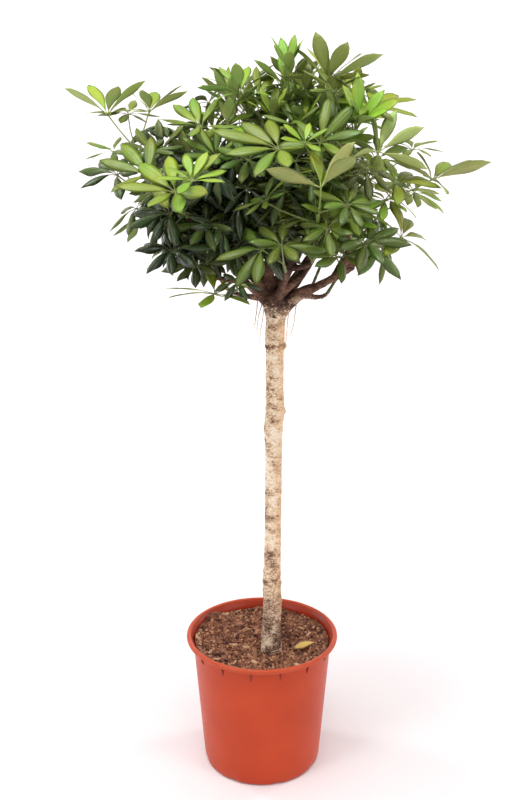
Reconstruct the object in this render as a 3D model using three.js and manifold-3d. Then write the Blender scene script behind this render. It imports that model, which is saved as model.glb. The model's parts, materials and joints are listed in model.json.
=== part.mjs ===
// Potted umbrella plant: a dwarf schefflera trained as a standard tree, in a plain plastic nursery pot.
// Millimetres, +Z up. The origin is the middle of the pot's flat underside. The viewer stands at -Y.
import * as THREE from 'three';
import { mergeVertices } from 'three/addons/utils/BufferGeometryUtils.js';
import Module from 'manifold-3d';

const wasm = await Module();
wasm.setup();

const GAP = 0.3; // room between two pieces that touch on the real plant

// Pot: a 34 cm nursery pot with a rolled lip, a slightly drawn-in foot, short ribs under the lip and shallow
// notches round the foot. Angles in degrees; the first rib and notch count from the side facing the viewer.
const POT = {
  height: 310, lipRadius: 170, lipBand: 20, lipRoll: 6, lipEdge: 12,
  wallTop: 153, footRadius: 132, heel: 12, wall: 3, floor: 5, sides: 40,
  ribs: { count: 15, first: 15, top: 295, height: 20, width: 3, stand: 5 },
  notches: { count: 8, first: 104, width: 22, height: 9, depth: 1.6 },
};

// Soil: fills the pot to 3 cm under the lip. Its top is heaped a little to the middle and swells and sinks.
// The trunk's root end stands on the bottom of a plain hole in it.
const SOIL = { top: 279, heap: 4, swell: 2.5, room: 0.7, sides: 32, holeSides: 20 };

// Trunk: height, middle x and y, and radius, from the buried root end to the fork.
const TRUNK = [
  [163, 21, -20, 19], [230, 21, -20, 21.5], [268, 21, -20, 23.5], [282, 21, -20, 23.8],
  [300, 21, -20, 23], [340, 21.5, -20, 20.5], [400, 22, -20, 19], [442, 22.5, -19, 18.6],
  [500, 23, -18.5, 18.2], [580, 24, -18, 17.8], [660, 24.5, -17, 17.6], [740, 25, -16, 17.6],
  [794, 25.5, -15, 18], [830, 26, -15, 18], [900, 26.5, -14, 18], [960, 27, -13, 18.3],
  [1000, 27.5, -12, 19], [1034, 28, -11, 20.2], [1062, 27, -9, 26], [1090, 25, -8, 26],
];
const TRUNK_SIDES = 12;
const TRUNK_UNEVEN = 1.1; // how much the bark's radius varies above the soil
// Knobs left by old twigs: height, bearing in degrees (0 is right, 270 is the front), stand, half height.
const KNOB_REACH = 40; // a knob spreads this many degrees to either side
const KNOBS = [
  [400, 350, 3.4, 16], [442, 190, 3.2, 18], [794, 185, 3, 16], [830, 0, 3.4, 14], [971, 250, 2.2, 9],
  [1034, 262, 3.4, 14], [1000, 170, 2.6, 14], [560, 300, 1.8, 20], [690, 230, 1.6, 18],
];

// Woody limbs, in centimetres, from inside the fork outwards, with the radius at both ends in millimetres.
const LIMBS = [
  [[[3, -1, 104], [5, -1.5, 106.5], [8.5, -2, 108.5], [13.5, -4, 111.5], [18, -6, 114.5]], 12.5, 6.5],
  [[[3, -1, 105], [4.5, -0.5, 108], [8, 0, 111.5], [10.5, 0, 117], [12, 0, 124], [13.5, -1, 131]], 12, 5],
  [[[3, 0, 105], [4.5, 3, 108], [9.5, 9, 113.5], [14.5, 14, 121], [16, 15, 126]], 10, 4.5],
  [[[3, 0, 105], [3, 0.5, 108], [4.5, 1.5, 114.5], [5, 3, 122.5], [5.5, 4, 130.5]], 12, 5],
  [[[2.5, -0.5, 105], [1, -1, 108.5], [-1.5, -2, 113], [-4.5, -3, 120], [-7, -2, 128]], 12, 5],
  [[[2.5, -1.5, 104], [0.5, -2.5, 107], [-2.5, -5, 110.5], [-6.5, -8, 115.5], [-11, -8, 120.5]], 10, 4.5],
  [[[2.5, 0, 104.5], [0.5, 4, 108], [-3.5, 10, 113], [-8.5, 14, 119], [-12, 15, 125]], 10, 4.5],
  [[[3, -2, 105], [3.5, -4, 108.5], [5, -8, 113.5], [7.5, -11, 119], [9.5, -12.5, 123]], 10, 4.5],
  [[[3, 0, 105], [3.5, 4, 108], [4.5, 11, 114], [5, 16, 121], [5, 17, 126]], 10, 4.5],
];

// Aerial roots that hang from the fork and the lower limbs, in centimetres: start and loose end.
const ROOT_RADII = [1.9, 1.5, 1];
const AERIAL_ROOTS = [
  [[0.5, -3.2, 106.5], [-0.6, -4.6, 98.5]],
  [[-1, -4.2, 109], [-1.8, -5.4, 101.5]],
  [[0.2, -3, 107], [-1.1, -3.4, 100]],
  [[5.6, -2.4, 106.5], [5.9, -3.6, 97]],
  [[7, -2.4, 107.8], [6.9, -3, 99.5]],
  [[4.6, -2, 107.5], [5.1, -3.8, 100.5]],
];

// Sizes of the green growth.
const TWIG = { root: 5.8, middle: 4.9, end: 4.4 }; // radii of a woody twig, up to its green shoot's foot
const SHOOT = { foot: 4.2, top: 3.3, tip: 1.4, bud: 7 }; // radii of a green stem, length of its end bud
const NODES = { first: 3, apart: 9 }; // where stalks leave the stem, down from its top
const PETIOLE = 1.8; // radius of a leaf's stalk
// A leaflet's width as a share of its length, reach of the undivided middle of a leaf, its rise over the
// hub, depth of a leaflet's underside, and depth of the stalk's end under the hub.
const BLADE = { width: 0.3, hub: 9, crown: 2, keel: 1.8, spine: 4 };
const STATIONS = [[0.4, 0.84], [0.76, 0.92]]; // a leaflet's outline: shares of its length and half width
const RIB = 0.56; // where a leaflet's underside is deepest, as a share of its length
const ARCH = [12, 58]; // how far a leaflet bows over its length, in degrees, in a young leaf and an old one
const WIDEST = Math.PI / 2; // a leaflet takes no more of the turn round its leaf's axis than this

// Shoots of the near side, in centimetres and degrees: [name, foot of the green stem, its top, its leaves].
// Each leaf is [hub, lean to the right, nod to the viewer, age from 0 to 1, leaflet length, and where each
// leaflet points: [bearing, rise, share of the length]], or in place of that list the number of leaflets of
// an even whorl.
const NEAR_SHOOTS = [
  ["left_top", [-21.5, -4, 131], [-24, -6, 137], [
      [[-29, -8, 143.5], -14, -22, 0.08, 9.6, [[55, 35], [75, 5], [125, 35], [170, 30], [255, 0],
        [290, 30], [355, 40]]],
      [[-26, -1, 143.5], 8, 0, 0.35, 6.4, [[50, 5], [80, 25], [115, 25], [150, 15], [210, 5],
        [260, -15], [310, -15], [0, -5]]],
      [[-21, -9, 144], 12, -22, 0.1, 8.6, [[25, 35], [85, 25], [125, 25], [235, 0], [270, 25], [340, 25]]],
  ]],
  ["left_knot", [-17, 6, 134.5], [-21, 4, 138], [
      [[-23, 2, 140.5], -10, 5, 0.75, 5, 7],
      [[-19.5, 6, 141], 10, 0, 0.7, 5, 7],
  ]],
  ["left_crown", [-8, -2, 132.5], [-9.5, -4, 138.5], [
      [[-11.5, -8, 141], -12, 14, 0.3, 8.6, [[30, 5], [65, 40], [110, 40], [140, 30], [170, 10],
        [225, 5], [260, -10], [325, 0]]],
      [[-6.5, -5, 141.5], 6, 10, 0.28, 7.8, [[45, 15], [80, 35], [115, 50], [155, 20], [230, -5],
        [275, 40], [300, -5], [355, 0]]],
  ]],
  ["crown_left", [1, 2, 136.5], [0, 0, 142.5], [
      [[-4, -4, 147.5], -10, -15, 0.16, 8.8, [[45, 25], [80, 35], [130, 35], [160, 20], [200, 5],
        [240, -10], [265, 35], [305, -5]]],
      [[-1, 3, 146.5], 14, 0, 0.22, 7.6, [[10, 20], [55, 40], [90, 55], [140, 25], [235, -10], [315, 10]]],
  ]],
  ["crown_mid", [5.5, 4, 136.5], [5.5, 3, 143], [
      [[4.5, 0, 148.5], -4, -15, 0.14, 8, [[40, 45], [100, 60], [125, 25], [185, 40], [240, 0],
        [280, 45], [310, -15]]],
      [[7, 5, 147.5], 8, 0, 0.25, 7.6, [[45, 20], [80, 30], [115, 25], [175, 10], [235, -5], [305, -5],
        [355, 5]]],
  ]],
  ["crown_top", [11.5, -2, 134], [12, -3, 142], [
      [[12.5, -4, 149.5], 8, -25, 0.04, 10.4, [[40, 30], [120, 40], [155, 40], [215, 5], [245, 55],
        [290, 40], [315, 5], [0, 25, 1.1]]],
      [[9.5, 2, 146], -14, 0, 0.4, 6, 7],
  ]],
  ["crown_right", [16.5, -2, 133], [18, -5, 140.5], [
      [[20, -9, 144.5], 10, 22, 0.34, 9.4, [[10, 10], [45, 15], [80, 25], [115, 25], [150, 10],
        [245, -10], [295, -15], [340, -10]]],
      [[16.5, 2, 147], 5, 10, 0.35, 8, [[50, 10], [80, 35], [120, 20], [175, 10], [230, -5], [260, -20],
        [310, -5]]],
  ]],
  ["front_dark", [10.5, -10, 129.5], [10.5, -14, 134], [
      [[10.5, -17, 138.5], 6, 58, 0.42, 9, [[0, 45], [65, 65], [130, 25], [190, -10], [260, -35],
        [295, -15], [330, 15]]],
      [[7.5, -21, 138.5], -5, 35, 0.12, 5, [[350, 30], [70, 45], [180, 40], [210, 10], [250, 35],
        [305, -15]]],
  ]],
  ["centre_bright", [4.5, -10, 128.5], [3.5, -17, 134.5], [
      [[3, -21, 137.5], -12, 34, 0.26, 10.4, [[0, 20], [100, 30], [140, 25], [180, 15, 1.2], [205, -5],
        [240, -25], [280, -15]]],
      [[-2.5, -18, 135.5], -20, 38, 0.5, 7.5, [[0, 5], [70, 10], [115, 30], [145, 15], [225, -10],
        [260, -30], [295, -20]]],
  ]],
  ["front_pale", [10, -20, 124], [10, -26, 127.5], [
      [[10, -30, 131.5], 0, -55, 0.05, 11, [[75, 15], [95, 30], [145, 15], [205, 15], [300, 30], [40, 45]]],
      [[15, -24, 128], 25, 36, 0.55, 7, [[35, 5], [70, 25], [110, 20], [175, 20], [230, 0], [255, -25],
        [295, -30], [325, -10]]],
  ]],
  ["right_pale", [17, -10, 128], [19.5, -14, 132], [
      [[21, -18, 137], 14, -50, 0.08, 9.6, [[5, -20], [80, -30], [120, 10], [100, 40], [235, -5],
        [55, 50], [15, 25]]],
      [[28.5, -8, 137], 10, 0, 0.6, 6.2, [[25, 15], [60, 10], [95, 15], [130, 10], [190, 5], [245, -15],
        [295, -10], [350, -5]]],
      [[18.5, -20, 134], -5, 34, 0.85, 6, 7],
  ]],
  ["far_right", [17.5, -6, 122.5], [23.5, -8, 127.5], [
      [[32.5, -8, 131.5], 36, -35, 0.12, 10.4, [[25, 20], [60, 15], [90, 0], [100, 25], [205, 50],
        [275, -10], [350, 15, 1.1]]],
      [[25, -12, 131], 10, 20, 0.5, 8.6, [[30, 0], [60, 10], [95, 25], [130, 10], [185, 5], [240, -5],
        [270, -25], [350, -5]]],
      [[23, -14, 128], 22, 25, 0.5, 6.5, [[30, 5], [110, 10], [170, 10], [225, -10], [255, -30],
        [300, -15]]],
  ]],
  ["right_low", [17, -8, 118], [22, -10, 120], [
      [[26.5, -12, 121], 28, 8, 0.5, 9.8, [[50, -10], [75, 15], [100, 40], [185, 30], [245, -15],
        [345, -40]]],
      [[19, -18, 120.5], 18, 44, 0.82, 8.6, [[40, 10], [70, 25], [110, 25], [230, 0], [255, -30],
        [290, -20], [340, -40, 1.1], [350, 0]]],
  ]],
  ["centre_mid", [9.5, -14, 116.5], [11, -18, 120], [
      [[11.5, -25, 124], 5, 48, 0.5, 7, [[45, 25], [95, 30], [130, 5], [230, -15], [275, -40], [305, -5]]],
      [[14.5, -18, 118], 20, 42, 0.55, 7, [[35, 0], [85, 25], [125, 20], [180, 10], [225, -10],
        [270, -35], [310, -10]]],
  ]],
  ["centre_low", [4.5, -12, 114.5], [4, -18, 117], [
      [[3.5, -26, 121], -8, 50, 0.55, 8.4, [[60, -5], [85, 25], [120, 20], [225, 10], [250, -15],
        [290, -10], [0, -5]]],
      [[0, -22, 120], -32, 36, 0.45, 9, [[75, 10], [115, 20], [135, -10], [195, -10], [220, -45],
        [265, -35], [350, 5]]],
  ]],
  ["low_left", [-2, -8, 111.5], [-5, -10, 110.5], [
      [[-9, -14, 110.5], -10, -20, 0.2, 10, [[10, 5], [70, 10], [100, 30], [175, 5], [210, 0],
        [260, -5], [315, -5]]],
      [[-4.5, -16, 113], -5, 35, 0.8, 5, [[65, 5], [95, 30], [130, 10], [175, -20], [230, -45],
        [300, -50], [5, -20]]],
  ]],
  ["left_claw", [-11, -8, 119], [-14, -12, 119.5], [
      [[-16.5, -18, 119], -24, 34, 0.92, 7.8, [[10, 5], [65, -5], [110, 25], [140, 5], [210, 5],
        [235, -25], [275, -25], [310, -15]]],
      [[-12.5, -14, 116], -10, 45, 0.7, 6.8, [[5, 5], [60, 5], [95, 25], [130, 10], [180, -10],
        [240, -20], [275, -30], [305, -10]]],
  ]],
  ["left_glossy", [-12, -4, 121], [-14.5, -6.5, 123.5], [
      [[-17, -16, 125.5], -26, 32, 0.85, 8.4, [[0, 0], [75, 5], [115, 20], [155, 0], [200, -15],
        [230, -40], [285, -35]]],
      [[-10.5, -14, 123.5], 5, 42, 0.65, 7.4, [[55, 15], [95, 35], [125, 10], [185, -5], [250, -25],
        [285, -35], [315, -5]]],
  ]],
  ["left_bright", [-14, -14, 125], [-15.5, -22, 128], [
      [[-15, -27, 130.5], -20, 42, 0.2, 10.4, [[10, 40], [100, 35], [140, 25], [190, 5], [250, -10],
        [280, -15], [310, 5]]],
      [[-12, -29, 132.5], 8, 18, 0.1, 6.8, [[30, 15], [65, 30], [105, 40], [140, 20], [200, 5],
        [255, -15], [330, 0]]],
  ]],
  ["left_green", [-17, -10, 126.5], [-19.5, -16, 130], [
      [[-20, -22, 133], -20, 36, 0.26, 9.4, [[50, 10], [90, 45], [135, 35], [175, 15], [235, 0],
        [290, -20], [350, 0]]],
      [[-21, -12, 136.5], 5, 20, 0.45, 7, [[10, 10], [70, 20], [110, 25], [145, 15], [195, 0],
        [245, -15], [285, -25], [320, 0]]],
  ]],
  ["left_out", [-20.5, -4, 126.5], [-24.5, -8, 130.5], [
      [[-27, -12, 132.5], -26, 24, 0.7, 8.2, [[10, 35], [85, 20], [125, 15], [160, 5], [215, -15],
        [280, -30], [305, 5]]],
      [[-29, -2, 136.5], -14, 4, 0.3, 6.2, [[45, 5], [85, 25], [130, 5], [165, 15], [195, -15],
        [285, -20], [345, 0]]],
  ]],
];

// Shoots of the far side and the inside of the crown, ring by ring: first bearing, step, count, height,
// half width, half depth in centimetres, age.
const RINGS = [
  [5, 40, 5, 116.5, 16, 17, 0.85],
  [-2, 37, 6, 123.5, 20, 20, 0.55],
  [4, 41, 5, 131, 18, 18, 0.32],
  [15, 60, 3, 138, 10, 11, 0.18],
  [200, 60, 6, 124, 12, 10, 0.9],
];
const RING_MIDDLE = 3; // the crown's middle lies this far right of the pot's axis
const RING_FOOT = { share: 0.68, below: 8 }; // a far shoot starts at this share of its reach, below its top
const RING_UNEVEN = { bearing: 8, size: 0.28, height: 5, age: 0.24 }; // how much the far shoots differ
// The two leaves of a far shoot: bearings beside the shoot's own and how much they vary, reach and how much
// it varies, rise in a young and an old leaf and how much it varies, step up to the second leaf, tilt in a
// young and an old leaf, leaflet length and how much it varies, and number of leaflets.
const RING_LEAVES = {
  bearings: [-38, 34], turn: 16, far: [5.5, 2], rise: [5, 1], uneven: 3, step: 2.5, tilt: [24, 44],
  length: [8.2, 1.6], leaflets: 6,
};

// Room between two shoots, and what is tried in turn to keep it: ways to bow a stalk, to the right of and
// behind its straight course, and bends of a leaflet: lift and swing in degrees, and share of its length.
const ROOM = 0.5;
const STEEPEST = 68; // a bent leaflet rises or falls no more degrees than this from its leaf's plane
const BOWS = [
  [0, 0], [12, 0], [-12, 0], [0, 12], [0, -12], [22, 8], [-22, 8], [8, -22], [-8, 22], [30, 0], [-30, 0],
  [0, 32], [0, -32],
];
const SWINGS = [0, 7, -7];
const BENDS = [
  ...[0, 8, -8, 16, -16, 24, -24, 32, -32, 42, -42].flatMap((lift) => {
    return SWINGS.map((swing) => [lift, swing, 1]);
  }),
  ...[0, 14, -14, 28, -28, 42, -42, 56, -56].map((lift) => [lift, 0, 0.8]),
  ...[0, 16, -16, 32, -32, 48, -48].map((lift) => [lift, 0, 0.62]),
  ...[0, 20, -20, 40, -40].map((lift) => [lift, 0, 0.45]),
];

// The fallen leaflet on the soil: its middle, the bearing of its tip, and its size.
const FALLEN = { middle: [92, -30], bearing: 10, length: 50 };

// Shoots up to YOUNG are pale green, those up to GROWN are mid green, and the rest dark.
const YOUNG = 0.35;
const GROWN = 0.65;

// Colours and surface of each piece.
const LOOKS = {
  pot: { color: 0xcc5233, roughness: 0.45, metalness: 0 },
  soil: { color: 0x4a3424, roughness: 0.95, metalness: 0 },
  bark: { color: 0xb9a07c, roughness: 0.85, metalness: 0 },
  young: { color: 0x7fa83a, roughness: 0.5, metalness: 0 },
  grown: { color: 0x5e8030, roughness: 0.45, metalness: 0 },
  old: { color: 0x2e4a2a, roughness: 0.35, metalness: 0 },
  dead: { color: 0xa98a45, roughness: 0.7, metalness: 0 },
};

// ---------- small tools ----------

const CM = 10;
const UP = new THREE.Vector3(0, 0, 1);
const vec = (x, y, z) => new THREE.Vector3(x, y, z);
const cm = (p) => vec(p[0], p[1], p[2]).multiplyScalar(CM);
const rad = THREE.MathUtils.degToRad;
const lerp = THREE.MathUtils.lerp;

// A draw from 0 to 1 that is always the same for the same two whole numbers.
const draw = (i, j) => (((i * 7919 + j * 6271 + 17) * 16807) % 2147483647) / 2147483647;

// Two directions square to the axis, the first one turned to the right as far as it can be.
function square(axis) {
  const toward = Math.abs(axis.x) < 0.95 ? vec(1, 0, 0) : vec(0, 0, 1);
  const first = toward.addScaledVector(axis, -toward.dot(axis)).normalize();
  return [first, axis.clone().cross(first)];
}

// A function that tells how far round the axis a direction lies.
function turnRound(axis) {
  const [first, second] = square(axis);
  return (out) => Math.atan2(out.dot(second), out.dot(first));
}

function solid(points, triangles) {
  const vertProperties = new Float32Array(points.flatMap((p) => [p.x, p.y, p.z]));
  const triVerts = new Uint32Array(triangles.flat());
  return new wasm.Manifold(new wasm.Mesh({ numProp: 3, vertProperties, triVerts }));
}

function solidOf(geometry) {
  const bare = geometry.clone();
  bare.deleteAttribute('normal');
  bare.deleteAttribute('uv');
  const merged = mergeVertices(bare, 1e-4);
  return new wasm.Manifold(new wasm.Mesh({
    numProp: 3,
    vertProperties: new Float32Array(merged.attributes.position.array),
    triVerts: new Uint32Array(merged.index.array),
  }));
}

const join = (solids) => wasm.Manifold.union(solids);

function mesh(name, body, look) {
  const data = body.getMesh();
  const geometry = new THREE.BufferGeometry();
  geometry.setAttribute('position', new THREE.BufferAttribute(new Float32Array(data.vertProperties), 3));
  geometry.setIndex(new THREE.BufferAttribute(new Uint32Array(data.triVerts), 1));
  geometry.computeVertexNormals();
  const made = new THREE.Mesh(geometry, new THREE.MeshStandardMaterial(LOOKS[look]));
  made.name = name;
  return made;
}

// The rings of a round, tapering rod through the points, one radius a point. Each ring lies square to the
// rod, the last one square to endDirection where that is given. bump(ring, side) adds to the radius.
function rodRings(points, radii, sides, endDirection = null, bump = () => 0) {
  const last = points.length - 1;
  return points.map((p, i) => {
    const along = points[Math.min(last, i + 1)].clone().sub(points[Math.max(0, i - 1)]);
    if (i === last && endDirection) along.copy(endDirection);
    along.normalize();
    const [side, across] = square(along);
    return Array.from({ length: sides }, (_, s) => {
      const turn = (2 * Math.PI * s) / sides;
      const out = side.clone().multiplyScalar(Math.cos(turn)).addScaledVector(across, Math.sin(turn));
      return p.clone().addScaledVector(out, radii[i] + bump(i, s));
    });
  });
}

// Faces of a rod's skin and of its first end. Its points start at number from.
function rodFaces(rings, sides, from = 0) {
  const faces = [];
  for (let s = 1; s < sides - 1; s++) faces.push([from, from + s + 1, from + s]);
  for (let r = 0; r < rings - 1; r++) {
    for (let s = 0; s < sides; s++) {
      const a = from + r * sides + s;
      const b = from + r * sides + ((s + 1) % sides);
      faces.push([a, b, b + sides], [a, b + sides, a + sides]);
    }
  }
  return faces;
}

function ringSolid(rings) {
  const faces = rodFaces(rings.length, rings[0].length);
  const last = (rings.length - 1) * rings[0].length;
  for (let s = 1; s < rings[0].length - 1; s++) faces.push([last, last + s, last + s + 1]);
  return solid(rings.flat(), faces);
}

function rod(points, radii, sides, endDirection = null, bump = () => 0) {
  return ringSolid(rodRings(points, radii, sides, endDirection, bump));
}

// ---------- pot ----------

// Half the outline of the pot's wall, from the middle of its underside round the lip to the inside floor.
function potOutline() {
  const { height, lipRadius, lipRoll, lipEdge, wallTop, footRadius, heel, wall, floor } = POT;
  const under = height - POT.lipBand;
  const round = 2; // small radius at the heel, under the lip and inside
  const outline = new THREE.Path();
  outline.moveTo(0, 0);
  outline.lineTo(footRadius - heel, 0);
  outline.quadraticCurveTo(footRadius - round, 0, footRadius, heel);
  outline.lineTo(wallTop, under - 2 * round);
  outline.quadraticCurveTo(wallTop + round / 2, under, wallTop + 2 * round, under + 1.5 * round);
  outline.lineTo(lipRadius - lipRoll + 1, height - lipEdge);
  outline.quadraticCurveTo(lipRadius, height - lipEdge + 1, lipRadius, height - lipRoll);
  outline.quadraticCurveTo(lipRadius, height, lipRadius - lipRoll, height);
  outline.quadraticCurveTo(lipRadius - lipEdge + 1, height, lipRadius - lipEdge, height - lipRoll);
  outline.lineTo(wallTop + 1 - wall, under + round);
  outline.lineTo(footRadius - wall, heel);
  outline.quadraticCurveTo(footRadius - wall - round, floor, footRadius - wall - heel, floor);
  outline.lineTo(0, floor);
  return outline.getPoints(2);
}

// Copies of a box round the pot. It is placed first at the right, out where it belongs.
function roundPot(box, { count, first }) {
  return Array.from({ length: count }, (_, i) => {
    const copy = box.clone().rotateZ(rad(first - 90 + (i * 360) / count));
    return solidOf(copy);
  });
}

function makePot() {
  const { wallTop, footRadius, wall, ribs, notches } = POT;
  const body = solidOf(new THREE.LatheGeometry(potOutline(), POT.sides).rotateX(Math.PI / 2));
  const rib = new THREE.BoxGeometry(ribs.stand + wall / 2, ribs.width, ribs.height);
  rib.translate(wallTop + (ribs.stand - wall / 2) / 2, 0, ribs.top - ribs.height / 2);
  const deep = 20; // a notch's cutter reaches well outside the foot
  const cutter = new THREE.BoxGeometry(deep, notches.width, 2 * notches.height);
  cutter.translate(footRadius - notches.depth - 1 + deep / 2, 0, 0);
  return join([body, ...roundPot(rib, ribs)]).subtract(join(roundPot(cutter, notches)));
}

// ---------- soil ----------

function wallInside(z) {
  const share = (z - POT.heel) / (POT.height - POT.lipBand - POT.heel);
  return lerp(POT.footRadius, POT.wallTop, share) - POT.wall;
}

// Height that the soil swells or sinks at a place.
function soilSwell(x, y) {
  return SOIL.swell * (Math.sin(x / 31 + 1.2) * Math.cos(y / 27) + 0.6 * Math.sin((x - y) / 17));
}

function makeSoil() {
  const { top, heap, room } = SOIL;
  const bottom = POT.floor + GAP;
  const edge = wallInside(top) - room;
  const heelRadius = POT.footRadius - POT.wall - POT.heel - 2;
  const flat = 60; // the soil round the trunk doesn't swell
  const profile = [
    [0, bottom], [heelRadius, bottom], [wallInside(POT.heel) - room - 1, POT.heel + 2], [edge, top - 2],
    [edge - 16, top], [edge - 58, top + heap / 2], [flat - 2, top + heap - 1], [0, top + heap],
  ].map((p) => new THREE.Vector2(p[0], p[1]));
  const ground = new THREE.LatheGeometry(profile, SOIL.sides).rotateX(Math.PI / 2);
  const corners = ground.attributes.position;
  for (let i = 0; i < corners.count; i++) {
    const [x, y, z] = [corners.getX(i), corners.getY(i), corners.getZ(i)];
    const r = Math.hypot(x, y);
    if (z > top - 1 && r > flat && r < edge - 1) corners.setZ(i, z + soilSwell(x, y));
  }
  const [rootEnd, x, y] = TRUNK[0];
  const buried = TRUNK.filter(([z]) => z < top + 2 * heap);
  const radius = (Math.max(...buried.map((ring) => ring[3])) + GAP) / Math.cos(Math.PI / SOIL.holeSides);
  const tall = top - rootEnd + 60; // the cutter stands out of the soil
  const hole = new THREE.CylinderGeometry(radius, radius, tall, SOIL.holeSides);
  hole.rotateX(Math.PI / 2).translate(x, y, rootEnd - GAP + tall / 2);
  return solidOf(ground).subtract(solidOf(hole));
}

// ---------- woody growth ----------

const limbCurves = LIMBS.map(([points, from, to]) => {
  const curve = new THREE.CatmullRomCurve3(points.map(cm), false, 'centripetal');
  return { curve, from, to, steps: points.length, taken: [] };
});

// How far the bark stands out at one corner of one of the trunk's rings.
function barkLump(ring, side) {
  const height = TRUNK[ring][0];
  const bearing = (360 * side) / TRUNK_SIDES;
  let out = height > SOIL.top + 5 ? TRUNK_UNEVEN * (draw(ring, side + 300) - 0.5) : 0;
  for (const [z, toward, stand, half] of KNOBS) {
    const off = Math.abs(((bearing - toward + 540) % 360) - 180) / KNOB_REACH;
    const rise = Math.abs(height - z) / half;
    out += stand * Math.max(0, 1 - off * off) * Math.max(0, 1 - rise * rise);
  }
  return out;
}

function makeTrunk(shoots) {
  const points = TRUNK.map(([z, x, y]) => vec(x, y, z));
  const parts = [rod(points, TRUNK.map((row) => row[3]), TRUNK_SIDES, null, barkLump)];
  for (const { curve, from, to, steps } of limbCurves) {
    const path = curve.getPoints(steps);
    parts.push(rod(path, path.map((_, i) => lerp(from, to, i / steps)), 6));
  }
  for (const { foot, along } of shoots) parts.push(makeTwig(foot, along));
  AERIAL_ROOTS.forEach(([from, to], k) => {
    const [a, b] = [cm(from), cm(to)];
    const middle = a.clone().lerp(b, 0.5).add(vec(5 * (draw(k, 1) - 0.5), -3 * draw(k, 2), 0));
    parts.push(rod([a, middle, b], ROOT_RADII, 3));
  });
  return join(parts);
}

// A twig leaves the limb that passes nearest below the foot of its shoot, a little apart from the
// twigs before it, and ends square to the shoot. The weights say how much a root that lies too high on
// the limb, or beside another twig, counts against its nearness.
function makeTwig(foot, along) {
  const [below, tooHigh, tooClose] = [15, 1.6, 18];
  let best = null;
  for (const limb of limbCurves) {
    for (let step = 4; step <= 20; step++) {
      const p = limb.curve.getPoint(step / 20);
      const crowd = limb.taken.filter((other) => Math.abs(other - step) < 2).length;
      const away = p.distanceTo(foot) + tooHigh * Math.max(0, p.z - foot.z + below) + tooClose * crowd;
      if (!best || away < best.away) best = { away, p, limb, step };
    }
  }
  const { p, limb, step } = best;
  limb.taken.push(step);
  const reach = p.distanceTo(foot);
  const middle = foot.clone().addScaledVector(along, -0.3 * reach).lerp(p.clone().lerp(foot, 0.6), 0.6);
  const end = foot.clone().addScaledVector(along, -GAP);
  const limbRadius = lerp(limb.from, limb.to, step / 20);
  return rod([p, middle, end], [Math.min(limbRadius - 0.8, TWIG.root), TWIG.middle, TWIG.end], 3, along);
}

// ---------- leaves ----------

function facing(lean, nod) {
  const [l, n] = [rad(lean), rad(nod)];
  return vec(Math.sin(l) * Math.cos(n), -Math.sin(n), Math.cos(l) * Math.cos(n));
}

function evenWhorl(axis, age, count, key) {
  const [first, second] = square(axis);
  return Array.from({ length: count }, (_, i) => {
    const turn = (2 * Math.PI * (i + 0.3 + 0.35 * (draw(key, i) - 0.5))) / count;
    const rise = rad(lerp(40, -50, age) + 16 * (draw(key, i + 20) - 0.5));
    const along = first.clone().multiplyScalar(Math.cos(rise) * Math.cos(turn));
    along.addScaledVector(second, Math.cos(rise) * Math.sin(turn)).addScaledVector(axis, Math.sin(rise));
    return { along, share: 0.9 + 0.16 * draw(key, i + 40) };
  });
}

function pointed(list) {
  return list.map(([bearing, rise, share = 1]) => {
    const [b, r] = [rad(bearing), rad(rise)];
    return { along: vec(Math.cos(b) * Math.cos(r), Math.sin(b) * Math.cos(r), Math.sin(r)), share };
  });
}

// Everything about one leaflet that its bend sets. bend is [lift, swing, share of the length]. It is never
// so wide that it reaches over its neighbour, seen along the leaf's axis.
function bladeOf(leaf, ray, bend) {
  const [lift, swing, share] = bend;
  const sideways = leaf.axis.clone().cross(ray.along).normalize();
  const along = ray.along.clone().applyAxisAngle(sideways, -rad(lift)).applyAxisAngle(leaf.axis, rad(swing));
  const normal = leaf.axis.clone().addScaledVector(along, -along.dot(leaf.axis)).normalize();
  const across = normal.clone().cross(along);
  const length = leaf.reach * ray.share * share;
  const bow = rad(lerp(ARCH[0], ARCH[1], leaf.age));
  const round = 1 / (2 * Math.sin(bow / 2));
  const at = (s, side, below = 0) => {
    const turn = bow * (s - 0.5);
    const out = (Math.sin(turn) + Math.sin(bow / 2)) * round;
    const rise = (Math.cos(turn) - Math.cos(bow / 2)) * round;
    const p = leaf.hub.clone().addScaledVector(along, length * out).addScaledVector(normal, length * rise);
    p.addScaledVector(across, side);
    p.addScaledVector(normal, -below * Math.cos(turn)).addScaledVector(along, -below * Math.sin(turn));
    return p;
  };
  const [share0, width0] = STATIONS[0];
  const out = at(share0, 0).sub(leaf.hub).cross(leaf.axis).length();
  const room = Math.max(0, ray.room - Math.abs(rad(swing)));
  const width = Math.min(length * BLADE.width, (2 * out * Math.tan(room)) / width0);
  const rise = Math.asin(along.dot(leaf.axis));
  const flat = along.clone().addScaledVector(leaf.axis, -Math.sin(rise)).normalize();
  return { along, at, length, width, rise, flat };
}

function bladePoints(blade) {
  const half = blade.width / 2;
  const edge = STATIONS.flatMap(([s, w]) => [blade.at(s, -w * half), blade.at(s, w * half)]);
  return [...edge, blade.at(1, 0), blade.at(RIB, 0, BLADE.keel)];
}

// One leaflet alone, from just outside the hub to its tip: it stands for the leaflet while room is sought.
function bladeSolid(blade) {
  const half = blade.width / 2;
  const root = BLADE.hub / blade.length;
  const points = [blade.at(root, -0.6 * half), blade.at(root, 0.6 * half), blade.at(root, 0, BLADE.spine)];
  points.push(...bladePoints(blade));
  const faces = [[0, 1, 2], [0, 4, 1], [0, 3, 4], [3, 6, 4], [3, 5, 6], [5, 7, 6]];
  faces.push([0, 2, 3], [2, 8, 3], [3, 8, 5], [8, 7, 5], [1, 4, 2], [2, 4, 8], [4, 6, 8], [8, 6, 7]);
  return solid(points, faces);
}

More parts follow.
